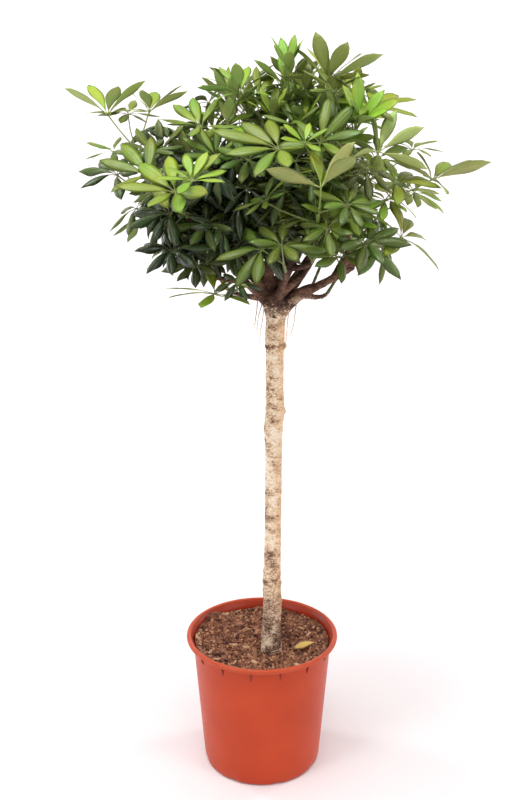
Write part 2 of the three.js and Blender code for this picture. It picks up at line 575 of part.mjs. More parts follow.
// A whole palmate leaf in one skin: a thin plate, cut to the hub between its leaflets, and its stalk,
// whose rings run from the stem up to the hub.
function leafSolid({ hub, axis, blades, stalk: rings }) {
  const count = blades.length;
  const points = [hub.clone().addScaledVector(axis, BLADE.crown), ...rings.flat()];
  const faces = rodFaces(rings.length, 3, 1);
  const corner = points.length - 3; // first corner of the ring that meets the plate
  const valley = points.length; // first of the notches between the leaflets
  blades.forEach((blade, i) => {
    const next = blades[(i + 1) % count];
    const between = blade.flat.clone().add(next.flat).normalize();
    const rise = (blade.rise + next.rise) / 2;
    const notch = hub.clone().addScaledVector(between, BLADE.hub * Math.cos(rise));
    points.push(notch.addScaledVector(axis, BLADE.hub * Math.sin(rise)));
  });
  const turnOf = turnRound(axis);
  const turns = [0, 1, 2].map((k) => turnOf(points[corner + k].clone().sub(hub)));
  // Each leaflet's underside is rooted in the corner of the stalk that faces it
  const nearest = blades.map(({ along }) => {
    const off = turns.map((turn) => Math.cos(turn - turnOf(along)));
    return off.indexOf(Math.max(...off));
  });
  blades.forEach((blade, i) => {
    const [before, after] = [valley + ((i + count - 1) % count), valley + i];
    const r = points.length;
    points.push(...bladePoints(blade));
    const [rA, lA, rB, lB, tip, rib] = [r, r + 1, r + 2, r + 3, r + 4, r + 5];
    faces.push([0, before, rA], [0, rA, lA], [0, lA, after], [rA, rB, lA], [rB, lB, lA], [rB, tip, lB]);
    faces.push([rib, rB, rA], [rib, tip, rB], [rib, lA, lB], [rib, lB, tip]);
    const root = corner + nearest[i];
    faces.push([root, rA, before], [root, rib, rA], [root, lA, rib], [root, after, lA]);
    for (let c = nearest[i]; c !== nearest[(i + 1) % count]; c = (c + 1) % 3) {
      faces.push([corner + c, corner + ((c + 1) % 3), after]);
    }
  });
  return solid(points, faces);
}

// The dead leaflet is lowered, hollow side down, until it all but touches the soil.
function makeFallenLeaflet(soil) {
  const [x, y] = FALLEN.middle;
  const along = vec(Math.cos(rad(FALLEN.bearing)), Math.sin(rad(FALLEN.bearing)), 0);
  const hub = vec(x, y, POT.height).addScaledVector(along, -FALLEN.length / 2);
  const leaf = { hub, axis: UP.clone(), age: 0, reach: FALLEN.length };
  const ray = { along, share: 1, room: WIDEST / 2 };
  let body = bladeSolid(bladeOf(leaf, ray, [0, 0, 1]));
  const height = () => body.minGap(soil, POT.height - SOIL.top) - GAP;
  while (height() > GAP / 10) body = body.translate(0, 0, -height());
  return body;
}

// ---------- shoots ----------

// One leaf of a far shoot, in the form of the near ones. turn is the shoot's own bearing round the crown.
function ringLeaf(key, j, turn, top, age) {
  const form = RING_LEAVES;
  const way = turn + rad(form.bearings[j] + form.turn * (draw(key, 4 + j) - 0.5));
  const far = form.far[0] + form.far[1] * draw(key, 6 + j);
  const rise = lerp(...form.rise, age) + form.uneven * (draw(key, 8 + j) - 0.5) + form.step * j;
  const tilt = lerp(...form.tilt, age);
  const own = THREE.MathUtils.clamp(age + RING_UNEVEN.age * (draw(key, 10 + j) - 0.5), 0, 1);
  const hub = [top[0] + far * Math.cos(way), top[1] + far * Math.sin(way), top[2] + rise];
  const length = form.length[0] + form.length[1] * draw(key, 12 + j);
  return [hub, tilt * Math.cos(way), -tilt * Math.sin(way), own, length, form.leaflets];
}

function ringShoots() {
  const shoots = [];
  for (const [first, step, count, height, halfWidth, halfDepth, age] of RINGS) {
    for (let i = 0; i < count; i++) {
      const number = shoots.length + 1;
      const key = 100 + number;
      const turn = rad(first + step * i + RING_UNEVEN.bearing * (draw(key, 1) - 0.5));
      const size = 1 + RING_UNEVEN.size * (draw(key, 2) - 0.5);
      const [x, y] = [halfWidth * size * Math.cos(turn), halfDepth * size * Math.sin(turn)];
      const top = [RING_MIDDLE + x, y, height + RING_UNEVEN.height * (draw(key, 3) - 0.5)];
      const foot = [RING_MIDDLE + RING_FOOT.share * x, RING_FOOT.share * y, top[2] - RING_FOOT.below];
      const leaves = [0, 1].map((j) => ringLeaf(key, j, turn, top, age));
      shoots.push([`ring_${String(number).padStart(2, '0')}`, foot, top, leaves]);
    }
  }
  return shoots;
}

function layOut(shoots) {
  let key = 0;
  return shoots.map(([name, foot, top, rows]) => {
    const shoot = { name, foot: cm(foot), top: cm(top) };
    shoot.along = shoot.top.clone().sub(shoot.foot).normalize();
    shoot.leaves = rows.map(([hub, lean, nod, age, reach, to]) => {
      key += 1;
      const axis = facing(lean, nod);
      const rays = Array.isArray(to) ? pointed(to) : evenWhorl(axis, age, to, key);
      const turnOf = turnRound(axis);
      rays.sort((a, b) => turnOf(a.along) - turnOf(b.along));
      rays.forEach((ray, i) => {
        const beside = [rays[(i + 1) % rays.length], rays[(i + rays.length - 1) % rays.length]];
        const apart = beside.map((other) => Math.acos(Math.cos(turnOf(other.along) - turnOf(ray.along))));
        ray.room = Math.min(WIDEST, ...apart) / 2;
      });
      return { key, hub: cm(hub), axis, age, reach: reach * CM, rays };
    });
    return shoot;
  });
}

// The rings of a leaf's stalk, from inside the stem up to the hub, which it meets square to the leaf.
// Each leaf's stalk starts lower on the stem than the one before. bow pushes its middle to one side.
function stalkRings(shoot, leaf, order, bow) {
  const start = shoot.top.clone().addScaledVector(shoot.along, -NODES.first - NODES.apart * order);
  const end = leaf.hub.clone().addScaledVector(leaf.axis, -BLADE.spine);
  const reach = start.distanceTo(end);
  const [first, second] = square(shoot.along);
  const bend = start.clone().addScaledVector(shoot.along, 0.4 * reach);
  bend.lerp(end.clone().addScaledVector(leaf.axis, -0.3 * reach), 0.5);
  bend.addScaledVector(first, bow[0]).addScaledVector(second, bow[1]);
  const curve = new THREE.QuadraticBezierCurve3(start, bend, end);
  return rodRings(curve.getPoints(2), [PETIOLE + 0.3, PETIOLE, PETIOLE], 3, leaf.axis);
}

function hubSolid(leaf) {
  const ends = [-BLADE.spine, BLADE.crown].map((rise) => leaf.hub.clone().addScaledVector(leaf.axis, rise));
  return rod(ends, [BLADE.hub, BLADE.hub], 6);
}

function stemSolid(shoot) {
  const end = shoot.top.clone().addScaledVector(shoot.along, SHOOT.bud);
  return rod([shoot.foot, shoot.top, end], [SHOOT.foot, SHOOT.top, SHOOT.tip], 4);
}

// ---------- room between the shoots ----------

// Solids already in place, each with the shoot and the leaf that it belongs to.
const placed = [];

function place(kind, body, shoot = null, leaf = null) {
  placed.push({ kind, body, box: body.boundingBox(), shoot, leaf });
}

function boxesMeet(a, b) {
  return [0, 1, 2].every((k) => a.min[k] - ROOM <= b.max[k] && b.min[k] - ROOM <= a.max[k]);
}

function isClear(body, mayTouch) {
  const box = body.boundingBox();
  const near = placed.filter((other) => !mayTouch(other) && boxesMeet(box, other.box));
  return near.every((other) => body.minGap(other.body, ROOM) >= ROOM);
}

// A bend must not swing a leaflet up or down so far that it passes the leaf's axis.
function keepsItsSide(leaf, ray, bend) {
  const steepness = (along) => Math.abs(along.dot(leaf.axis));
  const most = Math.max(steepness(ray.along), Math.sin(rad(STEEPEST)));
  return steepness(bladeOf(leaf, ray, bend).along) <= most;
}

// The stalks come first, each bowed aside where a leaf, another shoot or the wood is in its way.
function growStalk(shoot, leaf, order) {
  const ownWay = (other) => other.shoot === shoot && (other.kind !== 'hub' || other.leaf === leaf);
  const courses = BOWS.map((bow) => stalkRings(shoot, leaf, order, bow));
  leaf.stalk = courses.find((rings) => isClear(ringSolid(rings), ownWay)) ?? courses[0];
  place('stalk', ringSolid(leaf.stalk), shoot, leaf);
}

// Then the leaflets, each bent or cut short until it is clear. One that finds no room doesn't grow.
function growBlades(shoot, leaf) {
  const ownPlate = (other) => other.leaf === leaf && other.kind !== 'stalk';
  leaf.blades = [];
  for (const ray of leaf.rays) {
    const bends = BENDS.filter((bend) => keepsItsSide(leaf, ray, bend));
    const bend = bends.find((one) => isClear(bladeSolid(bladeOf(leaf, ray, one)), ownPlate));
    if (bend) {
      leaf.blades.push(bladeOf(leaf, ray, bend));
      place('blade', bladeSolid(leaf.blades.at(-1)), shoot, leaf);
    }
  }
}

// ---------- the plant ----------

const shoots = layOut([...NEAR_SHOOTS, ...ringShoots()]);
const trunk = makeTrunk(shoots);
place('wood', trunk);
shoots.forEach((shoot) => place('stem', stemSolid(shoot), shoot));
shoots.forEach((shoot) => shoot.leaves.forEach((leaf) => place('hub', hubSolid(leaf), shoot, leaf)));
shoots.forEach((shoot) => shoot.leaves.forEach((leaf, order) => growStalk(shoot, leaf, order)));
shoots.forEach((shoot) => shoot.leaves.forEach((leaf) => growBlades(shoot, leaf)));

const lookOf = (age) => (age < YOUNG ? 'young' : age < GROWN ? 'grown' : 'old');

const soil = makeSoil();
const plant = new THREE.Group();
plant.add(mesh('pot', makePot(), 'pot'));
plant.add(mesh('soil', soil, 'soil'));
plant.add(mesh('trunk', trunk, 'bark'));
plant.add(mesh('fallen_leaflet', makeFallenLeaflet(soil), 'dead'));
for (const shoot of shoots) {
  const leaves = shoot.leaves.map((leaf) => leafSolid(leaf));
  const body = join([stemSolid(shoot), ...leaves]);
  plant.add(mesh(`shoot_${shoot.name}`, body, lookOf(shoot.leaves[0].age)));
}

export default plant;
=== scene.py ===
# %% [markdown]
# # A potted umbrella plant
# The real thing is a dwarf schefflera grown as a standard: a plastic nursery pot, a bed of peaty
# potting mix, one bare trunk, and a round crown of palmate leaves on green shoots. The solids in the
# frame already give every size and place. Here each of them gets the shape and finish the eye expects.

# %% Load the frame
import json
import math
from collections import Counter, defaultdict
from contextlib import contextmanager

import bpy
import numpy as np
from mathutils import Euler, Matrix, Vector, noise
from numpy.linalg import norm

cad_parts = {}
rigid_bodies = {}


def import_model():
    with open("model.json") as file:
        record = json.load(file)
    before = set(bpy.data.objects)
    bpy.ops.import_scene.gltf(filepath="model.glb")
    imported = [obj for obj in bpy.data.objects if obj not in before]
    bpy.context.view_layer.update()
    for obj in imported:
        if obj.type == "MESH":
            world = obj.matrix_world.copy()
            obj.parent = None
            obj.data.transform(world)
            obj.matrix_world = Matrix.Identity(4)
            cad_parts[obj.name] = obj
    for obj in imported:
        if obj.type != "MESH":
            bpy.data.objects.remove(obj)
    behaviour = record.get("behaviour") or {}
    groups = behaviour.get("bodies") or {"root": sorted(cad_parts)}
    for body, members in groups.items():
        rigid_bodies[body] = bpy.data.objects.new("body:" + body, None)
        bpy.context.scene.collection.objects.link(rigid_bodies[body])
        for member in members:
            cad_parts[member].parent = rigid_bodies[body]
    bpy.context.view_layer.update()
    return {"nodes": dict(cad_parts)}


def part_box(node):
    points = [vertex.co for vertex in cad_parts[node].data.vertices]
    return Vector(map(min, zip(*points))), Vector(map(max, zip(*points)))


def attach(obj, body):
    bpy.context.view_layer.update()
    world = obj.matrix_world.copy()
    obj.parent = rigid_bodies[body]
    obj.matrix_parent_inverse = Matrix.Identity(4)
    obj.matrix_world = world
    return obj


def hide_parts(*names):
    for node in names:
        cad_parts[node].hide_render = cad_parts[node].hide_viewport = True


for leftover in list(bpy.data.objects):
    bpy.data.objects.remove(leftover)
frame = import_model()
MM = 0.001
print("nodes in the frame:", len(frame["nodes"]))

# %% [markdown]
# The camera stands at head height two metres in front of the pot and looks down a little. Its angle was
# worked out from the two ellipses of the pot's rim and foot, so the rim opens by the right amount.

# %% Set up the camera
CAMERA = {"place": (0, -2.034, 1.432), "down": 15.86, "lens": 45, "sensor": 36}
bpy.ops.object.camera_add(location=CAMERA["place"], rotation=(math.radians(90 - CAMERA["down"]), 0, 0))
camera = bpy.context.object
camera.name = "camera"
camera.data.sensor_fit = "VERTICAL"
camera.data.sensor_height = CAMERA["sensor"]
camera.data.lens = CAMERA["lens"]
bpy.context.scene.camera = camera
print("camera looks down", round(90 - math.degrees(camera.rotation_euler.x), 2), "degrees")

# %% [markdown]
# In every material, places and marks on the mesh feed noise and ramps, and these drive the shader.

# %% Make a way to write materials
def linear(colour):
    """sRGB hex such as "C8A060" as the linear colour that shaders take."""
    parts = [int(colour[i:i + 2], 16) / 255 for i in (0, 2, 4)]
    return [c / 12.92 if c <= 0.04045 else ((c + 0.055) / 1.055) ** 2.4 for c in parts] + [1.0]


class Skin:
    """A material and its shader, with short ways to add the nodes that drive them."""

    def __init__(self, name, roughness, ior=1.5, specular=0.5):
        self.material = bpy.data.materials.new(name)
        self.material.use_nodes = True
        self.nodes = self.material.node_tree.nodes
        self.links = self.material.node_tree.links
        self.shader = self.nodes["Principled BSDF"]
        self.shader.inputs["Roughness"].default_value = roughness
        self.shader.inputs["IOR"].default_value = ior
        self.shader.inputs["Specular IOR Level"].default_value = specular
        coordinates = self.add("TexCoord")
        self.place = coordinates.outputs["Object"]
        self.map = coordinates.outputs["UV"]

    def add(self, kind, settings=None, inputs=None):
        """Add one node, set its settings, and fill or link its inputs by name or number."""
        node = self.nodes.new("ShaderNode" + kind)
        for name, value in (settings or {}).items():
            setattr(node, name, value)
        for name, value in (inputs or {}).items():
            if isinstance(value, bpy.types.NodeSocket):
                self.links.new(value, node.inputs[name])
            else:
                node.inputs[name].default_value = value
        return node

    def noise(self, scale, detail, roughness=0.5, vector=None):
        """Soft noise from 0 to 1 with so many blotches to the metre."""
        inputs = {"Vector": vector or self.place, "Scale": scale, "Detail": detail, "Roughness": roughness}
        return self.add("TexNoise", inputs=inputs).outputs[0]

    def mark(self, name):
        """A value that the mesh carries at each of its points."""
        return self.add("Attribute", {"attribute_name": name}).outputs["Fac"]

    def part(self, axis, vector=None):
        """One coordinate of the place in metres, or of another vector."""
        return self.add("SeparateXYZ", inputs={0: vector or self.place}).outputs[axis]

    def maths(self, operation, *values):
        """The result of a maths node on one to three values."""
        return self.add("Math", {"operation": operation}, dict(enumerate(values))).outputs[0]

    def remap(self, value, low, high, to_low=0, to_high=1):
        """A value between low and high, moved onto another range and kept inside it."""
        return self.add("MapRange", inputs=dict(enumerate((value, low, high, to_low, to_high)))).outputs[0]

    def mixed(self, share, first, second):
        """The first colour, with a share of the second one, which may be hex."""
        second = linear(second) if isinstance(second, str) else second
        return self.add("Mix", {"data_type": "RGBA"}, {0: share, 6: first, 7: second}).outputs[2]

    def ramp(self, value, *stops):
        """A colour that runs through stops of (position, hex)."""
        node = self.add("ValToRGB", inputs={0: value})
        elements = node.color_ramp.elements
        for element, (position, colour) in zip(list(elements), (stops[0], stops[-1])):
            element.position = position
            element.color = linear(colour)
        for position, colour in stops[1:-1]:
            elements.new(position).color = linear(colour)
        return node.outputs[0]

    def wear(self, colour, roughness=None, height=None, strength=1.0, distance=0.001):
        """Drive the shader's colour, and its roughness and relief if they are given."""
        self.links.new(colour, self.shader.inputs["Base Color"])
        if roughness:
            self.links.new(roughness, self.shader.inputs["Roughness"])
        if height:
            bump = self.add("Bump", inputs={"Strength": strength, "Distance": distance, "Height": height})
            self.links.new(bump.outputs[0], self.shader.inputs["Normal"])
        return self.material


print("terracotta red in linear light:", [round(c, 3) for c in linear("C44218")[:3]])

# %% [markdown]
# A plant seller's picture is taken on a white paper sweep with large soft lamps, so that nothing but
# the plant has a hard edge. One plane is extruded up at the back and bevelled into a sweep. The world
# fills in from all round, and two tall soft boxes draw the upright gleams on the pot.

# %% Lay the floor and the sweep
@contextmanager
def editing(select=None):
    """Edit mode for the lines inside, with the whole mesh selected or deselected first if asked."""
    bpy.ops.object.mode_set(mode="EDIT")
    if select:
        bpy.ops.mesh.select_all(action=select)
    yield
    bpy.ops.object.mode_set(mode="OBJECT")


SWEEP = {"size": 9, "height": 5, "below": 0.001, "bend": 1.6, "segments": 10}
near_back = SWEEP["size"] / 2 - 0.5
bpy.ops.mesh.primitive_plane_add(size=SWEEP["size"], location=(0, 0, -SWEEP["below"]))
sweep = bpy.context.object
sweep.name = "paper_sweep"
with editing("DESELECT"):
    bpy.ops.mesh.select_mode(type="EDGE")
for edge in sweep.data.edges:
    edge.select = all(sweep.data.vertices[v].co.y > near_back for v in edge.vertices)
with editing():
    bpy.ops.mesh.extrude_region_move(TRANSFORM_OT_translate={"value": (0, 0, SWEEP["height"])})
for edge in sweep.data.edges:
    ends = [sweep.data.vertices[v].co for v in edge.vertices]
    edge.select = all(p.y > near_back and abs(p.z) < 0.01 for p in ends)
with editing():
    bpy.ops.mesh.bevel(offset=SWEEP["bend"], segments=SWEEP["segments"])
bpy.ops.object.shade_smooth()
paper = Skin("white_paper", 0.9)
paper.shader.inputs["Base Color"].default_value = linear("F3EEEF")
sweep.data.materials.append(paper.material)
print("sweep faces:", len(sweep.data.polygons))

# %% Hang the lamps
def soft_box(name, place, aim, size, power):
    """A large soft lamp at a place, turned to face a point."""
    bpy.ops.object.light_add(type="AREA", location=place)
    lamp = bpy.context.object
    lamp.name = name
    lamp.data.shape = "RECTANGLE"
    lamp.data.size, lamp.data.size_y = size
    lamp.data.energy = power
    lamp.rotation_euler = (Vector(aim) - Vector(place)).to_track_quat("-Z", "Y").to_euler()


WORLD_LIGHT = 0.42
soft_box("left_box", (-1.9, -1.7, 1.7), (0, 0, 0.9), (0.8, 1.8), 21)
soft_box("right_box", (2.0, -1.5, 1.6), (0, 0, 0.8), (0.8, 1.8), 21)
soft_box("top_box", (-0.3, -0.6, 3.3), (0, 0, 1.2), (2.0, 1.6), 66)
soft_box("sweep_left", (-2.6, 1.4, 2.2), (0, 4.3, 1.0), (1.6, 1.6), 70)
soft_box("sweep_right", (2.6, 1.4, 2.2), (0, 4.3, 1.0), (1.6, 1.6), 70)
world = bpy.data.worlds.new("studio")
world.use_nodes = True
world.node_tree.nodes["Background"].inputs["Color"].default_value = (1, 1, 1, 1)
world.node_tree.nodes["Background"].inputs["Strength"].default_value = WORLD_LIGHT
bpy.context.scene.world = world
bpy.context.scene.view_settings.view_transform = "Standard"

# %% [markdown]
# Round things such as the pot, the soil and every stalk come from one move a wood turner would know:
# start from a circle, then extrude it to the next height and scale it to the next radius. The last
# and the first ring are closed with a face, so the shape is solid.

# %% Turn a round piece
def turned(name, outline, sides):
    """A closed round piece from (radius, height) pairs, both in metres."""
    radius, height = outline[0]
    bpy.ops.mesh.primitive_circle_add(vertices=sides, radius=radius, location=(0, 0, 0))
    piece = bpy.context.object
    piece.name = name
    with editing("SELECT"):
        bpy.ops.transform.translate(value=(0, 0, height))
        for next_radius, next_height in outline[1:]:
            rise = (0, 0, next_height - height)
            bpy.ops.mesh.extrude_region_move(TRANSFORM_OT_translate={"value": rise})
            grow = next_radius / radius
            bpy.ops.transform.resize(value=(grow, grow, 1), center_override=(0, 0, next_height))
            radius, height = next_radius, next_height
        bpy.ops.mesh.edge_face_add()
    for vertex in piece.data.vertices:
        vertex.select = vertex.index < sides
    with editing():
        bpy.ops.mesh.select_mode(type="VERT")
        bpy.ops.mesh.edge_face_add()
        bpy.ops.mesh.select_all(action="SELECT")
        bpy.ops.mesh.normals_make_consistent(inside=False)
    return piece


def only(piece):
    """Select one piece alone and make it active."""
    bpy.ops.object.select_all(action="DESELECT")
    piece.select_set(True)
    bpy.context.view_layer.objects.active = piece


def joined(pieces, name):
    """Join pieces into the first one."""
    only(pieces[0])
    for piece in pieces[1:]:
        piece.select_set(True)
    bpy.ops.object.join()
    pieces[0].name = name
    return pieces[0]


def apply_modifier(piece, kind, **settings):
    """Add a modifier, set it, and make its result the mesh."""
    only(piece)
    bpy.ops.object.modifier_add(type=kind)
    modifier = piece.modifiers[-1]
    for key, value in settings.items():
        setattr(modifier, key, value)
    bpy.ops.object.modifier_apply(modifier=modifier.name)


def mark_points(mesh, name, values):
    """Give each point of a mesh a value that a skin can read."""
    mesh.attributes.new(name, "FLOAT", "POINT").data.foreach_set("value", np.array(values, float))


def finished(piece, slot, *nodes):
    """Hang a finished piece on the root body and hide the solids it stands for. The slot is not used."""
    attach(piece, "root")
    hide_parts(*nodes)
    print(piece.name, "faces:", len(piece.data.polygons))


print("pieces can be turned, joined and finished")

# %% [markdown]
# The pot is a 34 cm nursery pot, injection moulded in one shot. Its wall leans out a little and turns
# out at the top into a soft lip. Short thin ribs stand under the lip, and the foot has shallow drain
# notches. The outline is turned, the notches are pressed in, and then the ribs are set round it.

# %% Turn the pot
POT_SIDES = 120
FIRST_INNER = (159.6, 303.6)
outline_mm = [
    (10, 4), (40, 3), (84, 2.5), (108, 2), (114, 0), (124, 0), (128.5, 1), (131, 4), (132, 9), (133, 14),
    (134.2, 30), (153, 267), (154.4, 284), (155, 292), (155.8, 295.4), (157.4, 297.6), (160, 298.6),
    (164, 299), (167.4, 299.6), (169.2, 301.2), (170, 304.8), (169.6, 307.2), (168, 309.2), (165.4, 310),
    (162.6, 309.6), (160.4, 308), (161.4, 306), FIRST_INNER, (156.8, 300.4), (154.4, 297), (153, 292),
    (151.8, 284), (150, 267), (131, 20), (128, 9), (122, 6), (60, 5.4), (10, 5.2),
]
pot = turned("nursery_pot", [(r * MM, z * MM) for r, z in outline_mm], POT_SIDES)
inner_ring = outline_mm.index(FIRST_INNER)
# The inside mark says where the plastic paints the shade inside the pot.
mark_points(pot.data, "inside", [vertex.index // POT_SIDES >= inner_ring for vertex in pot.data.vertices])
print("pot top at", round(pot.dimensions.z * 1000), "mm")

# %% Press the foot notches and set the ribs
NOTCHES = {"pitch": 45, "first": 14, "half_turn": 4.6, "top": 9.5, "depth": 1.8, "inside": 120, "arch": 3.5}
for vertex in pot.data.vertices:
    x, y, z = vertex.co
    reach = math.hypot(x, y)
    off = (math.degrees(math.atan2(y, x)) - NOTCHES["first"] + NOTCHES["pitch"] / 2) % NOTCHES["pitch"]
    at_foot = reach > NOTCHES["inside"] * MM and z <= NOTCHES["top"] * MM
    if at_foot and abs(off - NOTCHES["pitch"] / 2) < NOTCHES["half_turn"]:
        vertex.co.xy *= 1 - NOTCHES["depth"] * MM / reach
        vertex.co.z = max(vertex.co.z, NOTCHES["arch"] * MM)

RIBS = {"count": 15, "first": -75, "width": 2.4, "top": 299, "height": 24, "root": 153.8, "foot": 154.6}
RIB_STAND = 8
ribs = []
for i in range(RIBS["count"]):
    turn = math.radians(RIBS["first"] + 360 * i / RIBS["count"])
    reach = (RIBS["root"] + RIB_STAND / 2) * MM
    place = (reach * math.cos(turn), reach * math.sin(turn), (RIBS["top"] - RIBS["height"] / 2) * MM)
    bpy.ops.mesh.primitive_cube_add(size=1, location=place, rotation=(0, 0, turn))
    rib = bpy.context.object
    rib.scale = (RIB_STAND * MM, RIBS["width"] * MM, RIBS["height"] * MM)
    bpy.ops.object.transform_apply(location=True, rotation=True, scale=True)
    for vertex in rib.data.vertices:
        if vertex.co.z < (RIBS["top"] - RIBS["height"] + 1) * MM:
            vertex.co.xy *= min(1, RIBS["foot"] * MM / math.hypot(*vertex.co.xy))
    apply_modifier(rib, "BEVEL", width=0.6 * MM, segments=2)
    ribs.append(rib)
wall_faces = len(pot.data.polygons)
pot = joined([pot] + ribs, "nursery_pot")
# The ribs take the second material, whose dark red is painted shade.
for face in pot.data.polygons[wall_faces:]:
    face.material_index = 1
only(pot)
bpy.ops.object.shade_smooth_by_angle(angle=math.radians(40))
finished(pot, "pot_plastic", "pot")

# %% [markdown]
# The pot is polypropylene from an injection mould, pigmented terracotta red. It has a soft satin
# gleam, not a mirror: tiny pits of the mould roughen it. The top of the lip is painted paler in patches,
# a painted highlight where the light falls on it, and the inside is painted darker red, a painted shade.
# Colour and roughness both drift slowly, so no part is one flat colour.

# %% Make the pot's plastic
plastic = Skin("moulded_polypropylene", 0.36, ior=1.49, specular=0.3)
shade = plastic.ramp(plastic.noise(9, 3), (0.3, "B83A12"), (0.7, "C44218"))
scuff_and_highlight_noise = plastic.noise(160, 5)
# Painted highlight: the top of the lip is painted paler in patches, where the light falls on it.
lit_lip_top = plastic.maths("MULTIPLY", plastic.remap(plastic.part("Z"), 0.296, 0.309), scuff_and_highlight_noise)
lip = plastic.mixed(lit_lip_top, shade, "C4593A")
# Painted shade: the inside of the pot is painted a darker red, for the shade that falls in it.
deep = plastic.maths("MULTIPLY", plastic.mark("inside"), 0.75)
wall = plastic.mixed(deep, lip, "8E2208")
gleam = plastic.remap(scuff_and_highlight_noise, 0.3, 0.7, 0.33, 0.45)
pits = plastic.noise(420, 2)
pot.data.materials.append(plastic.wear(wall, gleam, pits, strength=0.06, distance=0.0006))
print("plastic nodes:", len(plastic.nodes))

# %% Make the ribs' shadowed plastic
# The ribs are painted dark red, a painted shade for the narrow corners beside each rib, so that from two
# metres a rib reads as a dark stroke.
rib_shade = Skin("shaded_rib_polypropylene", 0.6, ior=1.49)
painted_rib_shade = rib_shade.ramp(rib_shade.noise(120, 3), (0, "74220E"), (1, "9C381A"))
pot.data.materials.append(rib_shade.wear(painted_rib_shade))
print("rib nodes:", len(rib_shade.nodes))

# %% [markdown]
# Potting mix is peat, bark chips and coir, wetted and settled into clods about two centimetres wide,
# with crumbs and chips on top. The bed is turned like the pot, with many rings, and its surface is then
# pushed up and down by noise of three sizes. Watering has left a hollow at the trunk's right and a
# shallow saucer round the trunk.

# %% Turn the soil bed
SOIL = {"top": 291, "wall": 151.4, "dish": 11, "sides": 220, "rings": 62}
# Height, place and spread of a heap at the wall, the hollow, and the saucer, all in metres.
MOUNDS = [(0.012, -0.105, 0.085, 0.0005, 0.0005), (-0.014, 0.052, 0.012, 0.0003, 0.0012),
          (-0.009, 0.021, -0.028, 0.0016, 0.0016)]


def bed_height(reach):
    """Mean height of the bed at a distance from the pot's middle, both in millimetres."""
    return SOIL["top"] - SOIL["dish"] * (1 - (reach / SOIL["wall"]) ** 2)


def soil_lump(x, y):
    """How high the mix stands over its mean level at a place, in metres."""
    p = Vector((x, y, 0.3))
    big = 0.0055 * noise.noise(p * 17)
    clod = 0.55 - noise.voronoi(p * 52)[0][0]
    lumps = 0.013 * clod * (0.4 + 0.6 * noise.noise(p * 23 + Vector((9, 2, 4))) + 0.35)
    crumbs = 0.0026 * noise.fractal(p * 150, 1.0, 2.1, 3)
    rise_at_left = 0.007 * max(0, -x / 0.15 - 0.25)
    mounds = sum(h * math.exp(-((x - at_x) ** 2 / wide + (y - at_y) ** 2 / deep))
                 for h, at_x, at_y, wide, deep in MOUNDS)
    return big + lumps + crumbs + rise_at_left + mounds


radii = [SOIL["wall"] * (1 - i / SOIL["rings"]) for i in range(SOIL["rings"])]
rings = [(8, 8), (118, 8), (126, 14), (140, 150), (148.2, 262), (148.8, 274), (150.8, 284), (151.2, 288)]
first_of_bed = len(rings) * SOIL["sides"]
rings += [(r, bed_height(r)) for r in radii]
soil = turned("potting_mix", [(r * MM, z * MM) for r, z in rings], SOIL["sides"])
for vertex in soil.data.vertices:
    if vertex.index >= first_of_bed:
        vertex.co.z += soil_lump(vertex.co.x, vertex.co.y)
only(soil)
bpy.ops.object.shade_smooth()
print("soil stands", round(max(v.co.z for v in soil.data.vertices) * 1000), "mm high")

# %% [markdown]
# Loose crumbs and chips of bark lie on the bed. One crumb and one chip are modelled, and some four
# thousand copies, nearly all of them crumbs, get their own size and turn. They have few faces each.

# %% Scatter crumbs and bark chips
rng = np.random.default_rng(5)


def taken(piece):
    """A piece's points, faces, and the material number of each face. The piece itself is removed."""
    points = np.array([v.co[:] for v in piece.data.vertices])
    faces = [tuple(f.vertices) for f in piece.data.polygons]
    kinds = [f.material_index for f in piece.data.polygons]
    bpy.data.objects.remove(piece)
    return points, faces, kinds


class Heap:
    """Gathers copies of modelled shapes, each bent its own way, into one mesh."""

    def __init__(self):
        self.points, self.faces, self.kinds, self.uvs, self.count = [], [], [], [], 0
        self.marks = {"tone": [], "age": []}

    def put(self, points, faces, kinds, uvs=None, tone=0.5, age=0.5):
        """Add one copy, with its material numbers, its map, and its marks of tone and age."""
        uvs = uvs or [[(0.5, 0.5)] * len(f) for f in faces]
        self.points.append(points)
        self.faces += [tuple(v + self.count for v in f) for f in faces]
        self.kinds += kinds
        self.uvs += [uv for face in uvs for uv in face]
        self.marks["tone"] += [tone] * len(points)
        self.marks["age"] += [age] * len(points)
        self.count += len(points)

    def piece(self, name):
        """All copies as one object."""
        mesh = bpy.data.meshes.new(name)
        mesh.from_pydata(np.concatenate(self.points).tolist(), [], self.faces)
        mesh.polygons.foreach_set("material_index", self.kinds)
        layer = mesh.uv_layers.new(name="UVMap")
        layer.data.foreach_set("uv", np.array(self.uvs, float).ravel())
        for mark, values in self.marks.items():
            mark_points(mesh, mark, values)
        mesh.polygons.foreach_set("use_smooth", [True] * len(self.faces))
        mesh.update()
        piece = bpy.data.objects.new(name, mesh)
        bpy.context.scene.collection.objects.link(piece)
        return piece


bpy.ops.mesh.primitive_ico_sphere_add(subdivisions=1, radius=1, location=(0, 0, 0))
crumb = bpy.context.object
for vertex in crumb.data.vertices:
    vertex.co *= 0.8 + 0.9 * noise.noise(vertex.co * 2.3 + Vector((3, 1, 7)))
    vertex.co.z *= 0.7
bpy.ops.mesh.primitive_cube_add(size=1, location=(0, 0, 0))
chip = bpy.context.object
chip.scale = (2.2, 1, 0.34)
bpy.ops.object.transform_apply(scale=True)
apply_modifier(chip, "BEVEL", width=0.14, segments=1)
for vertex in chip.data.vertices:
    vertex.co.y *= 1 - 0.35 * (vertex.co.x > 0)
    vertex.co.z += 0.12 * vertex.co.x ** 2

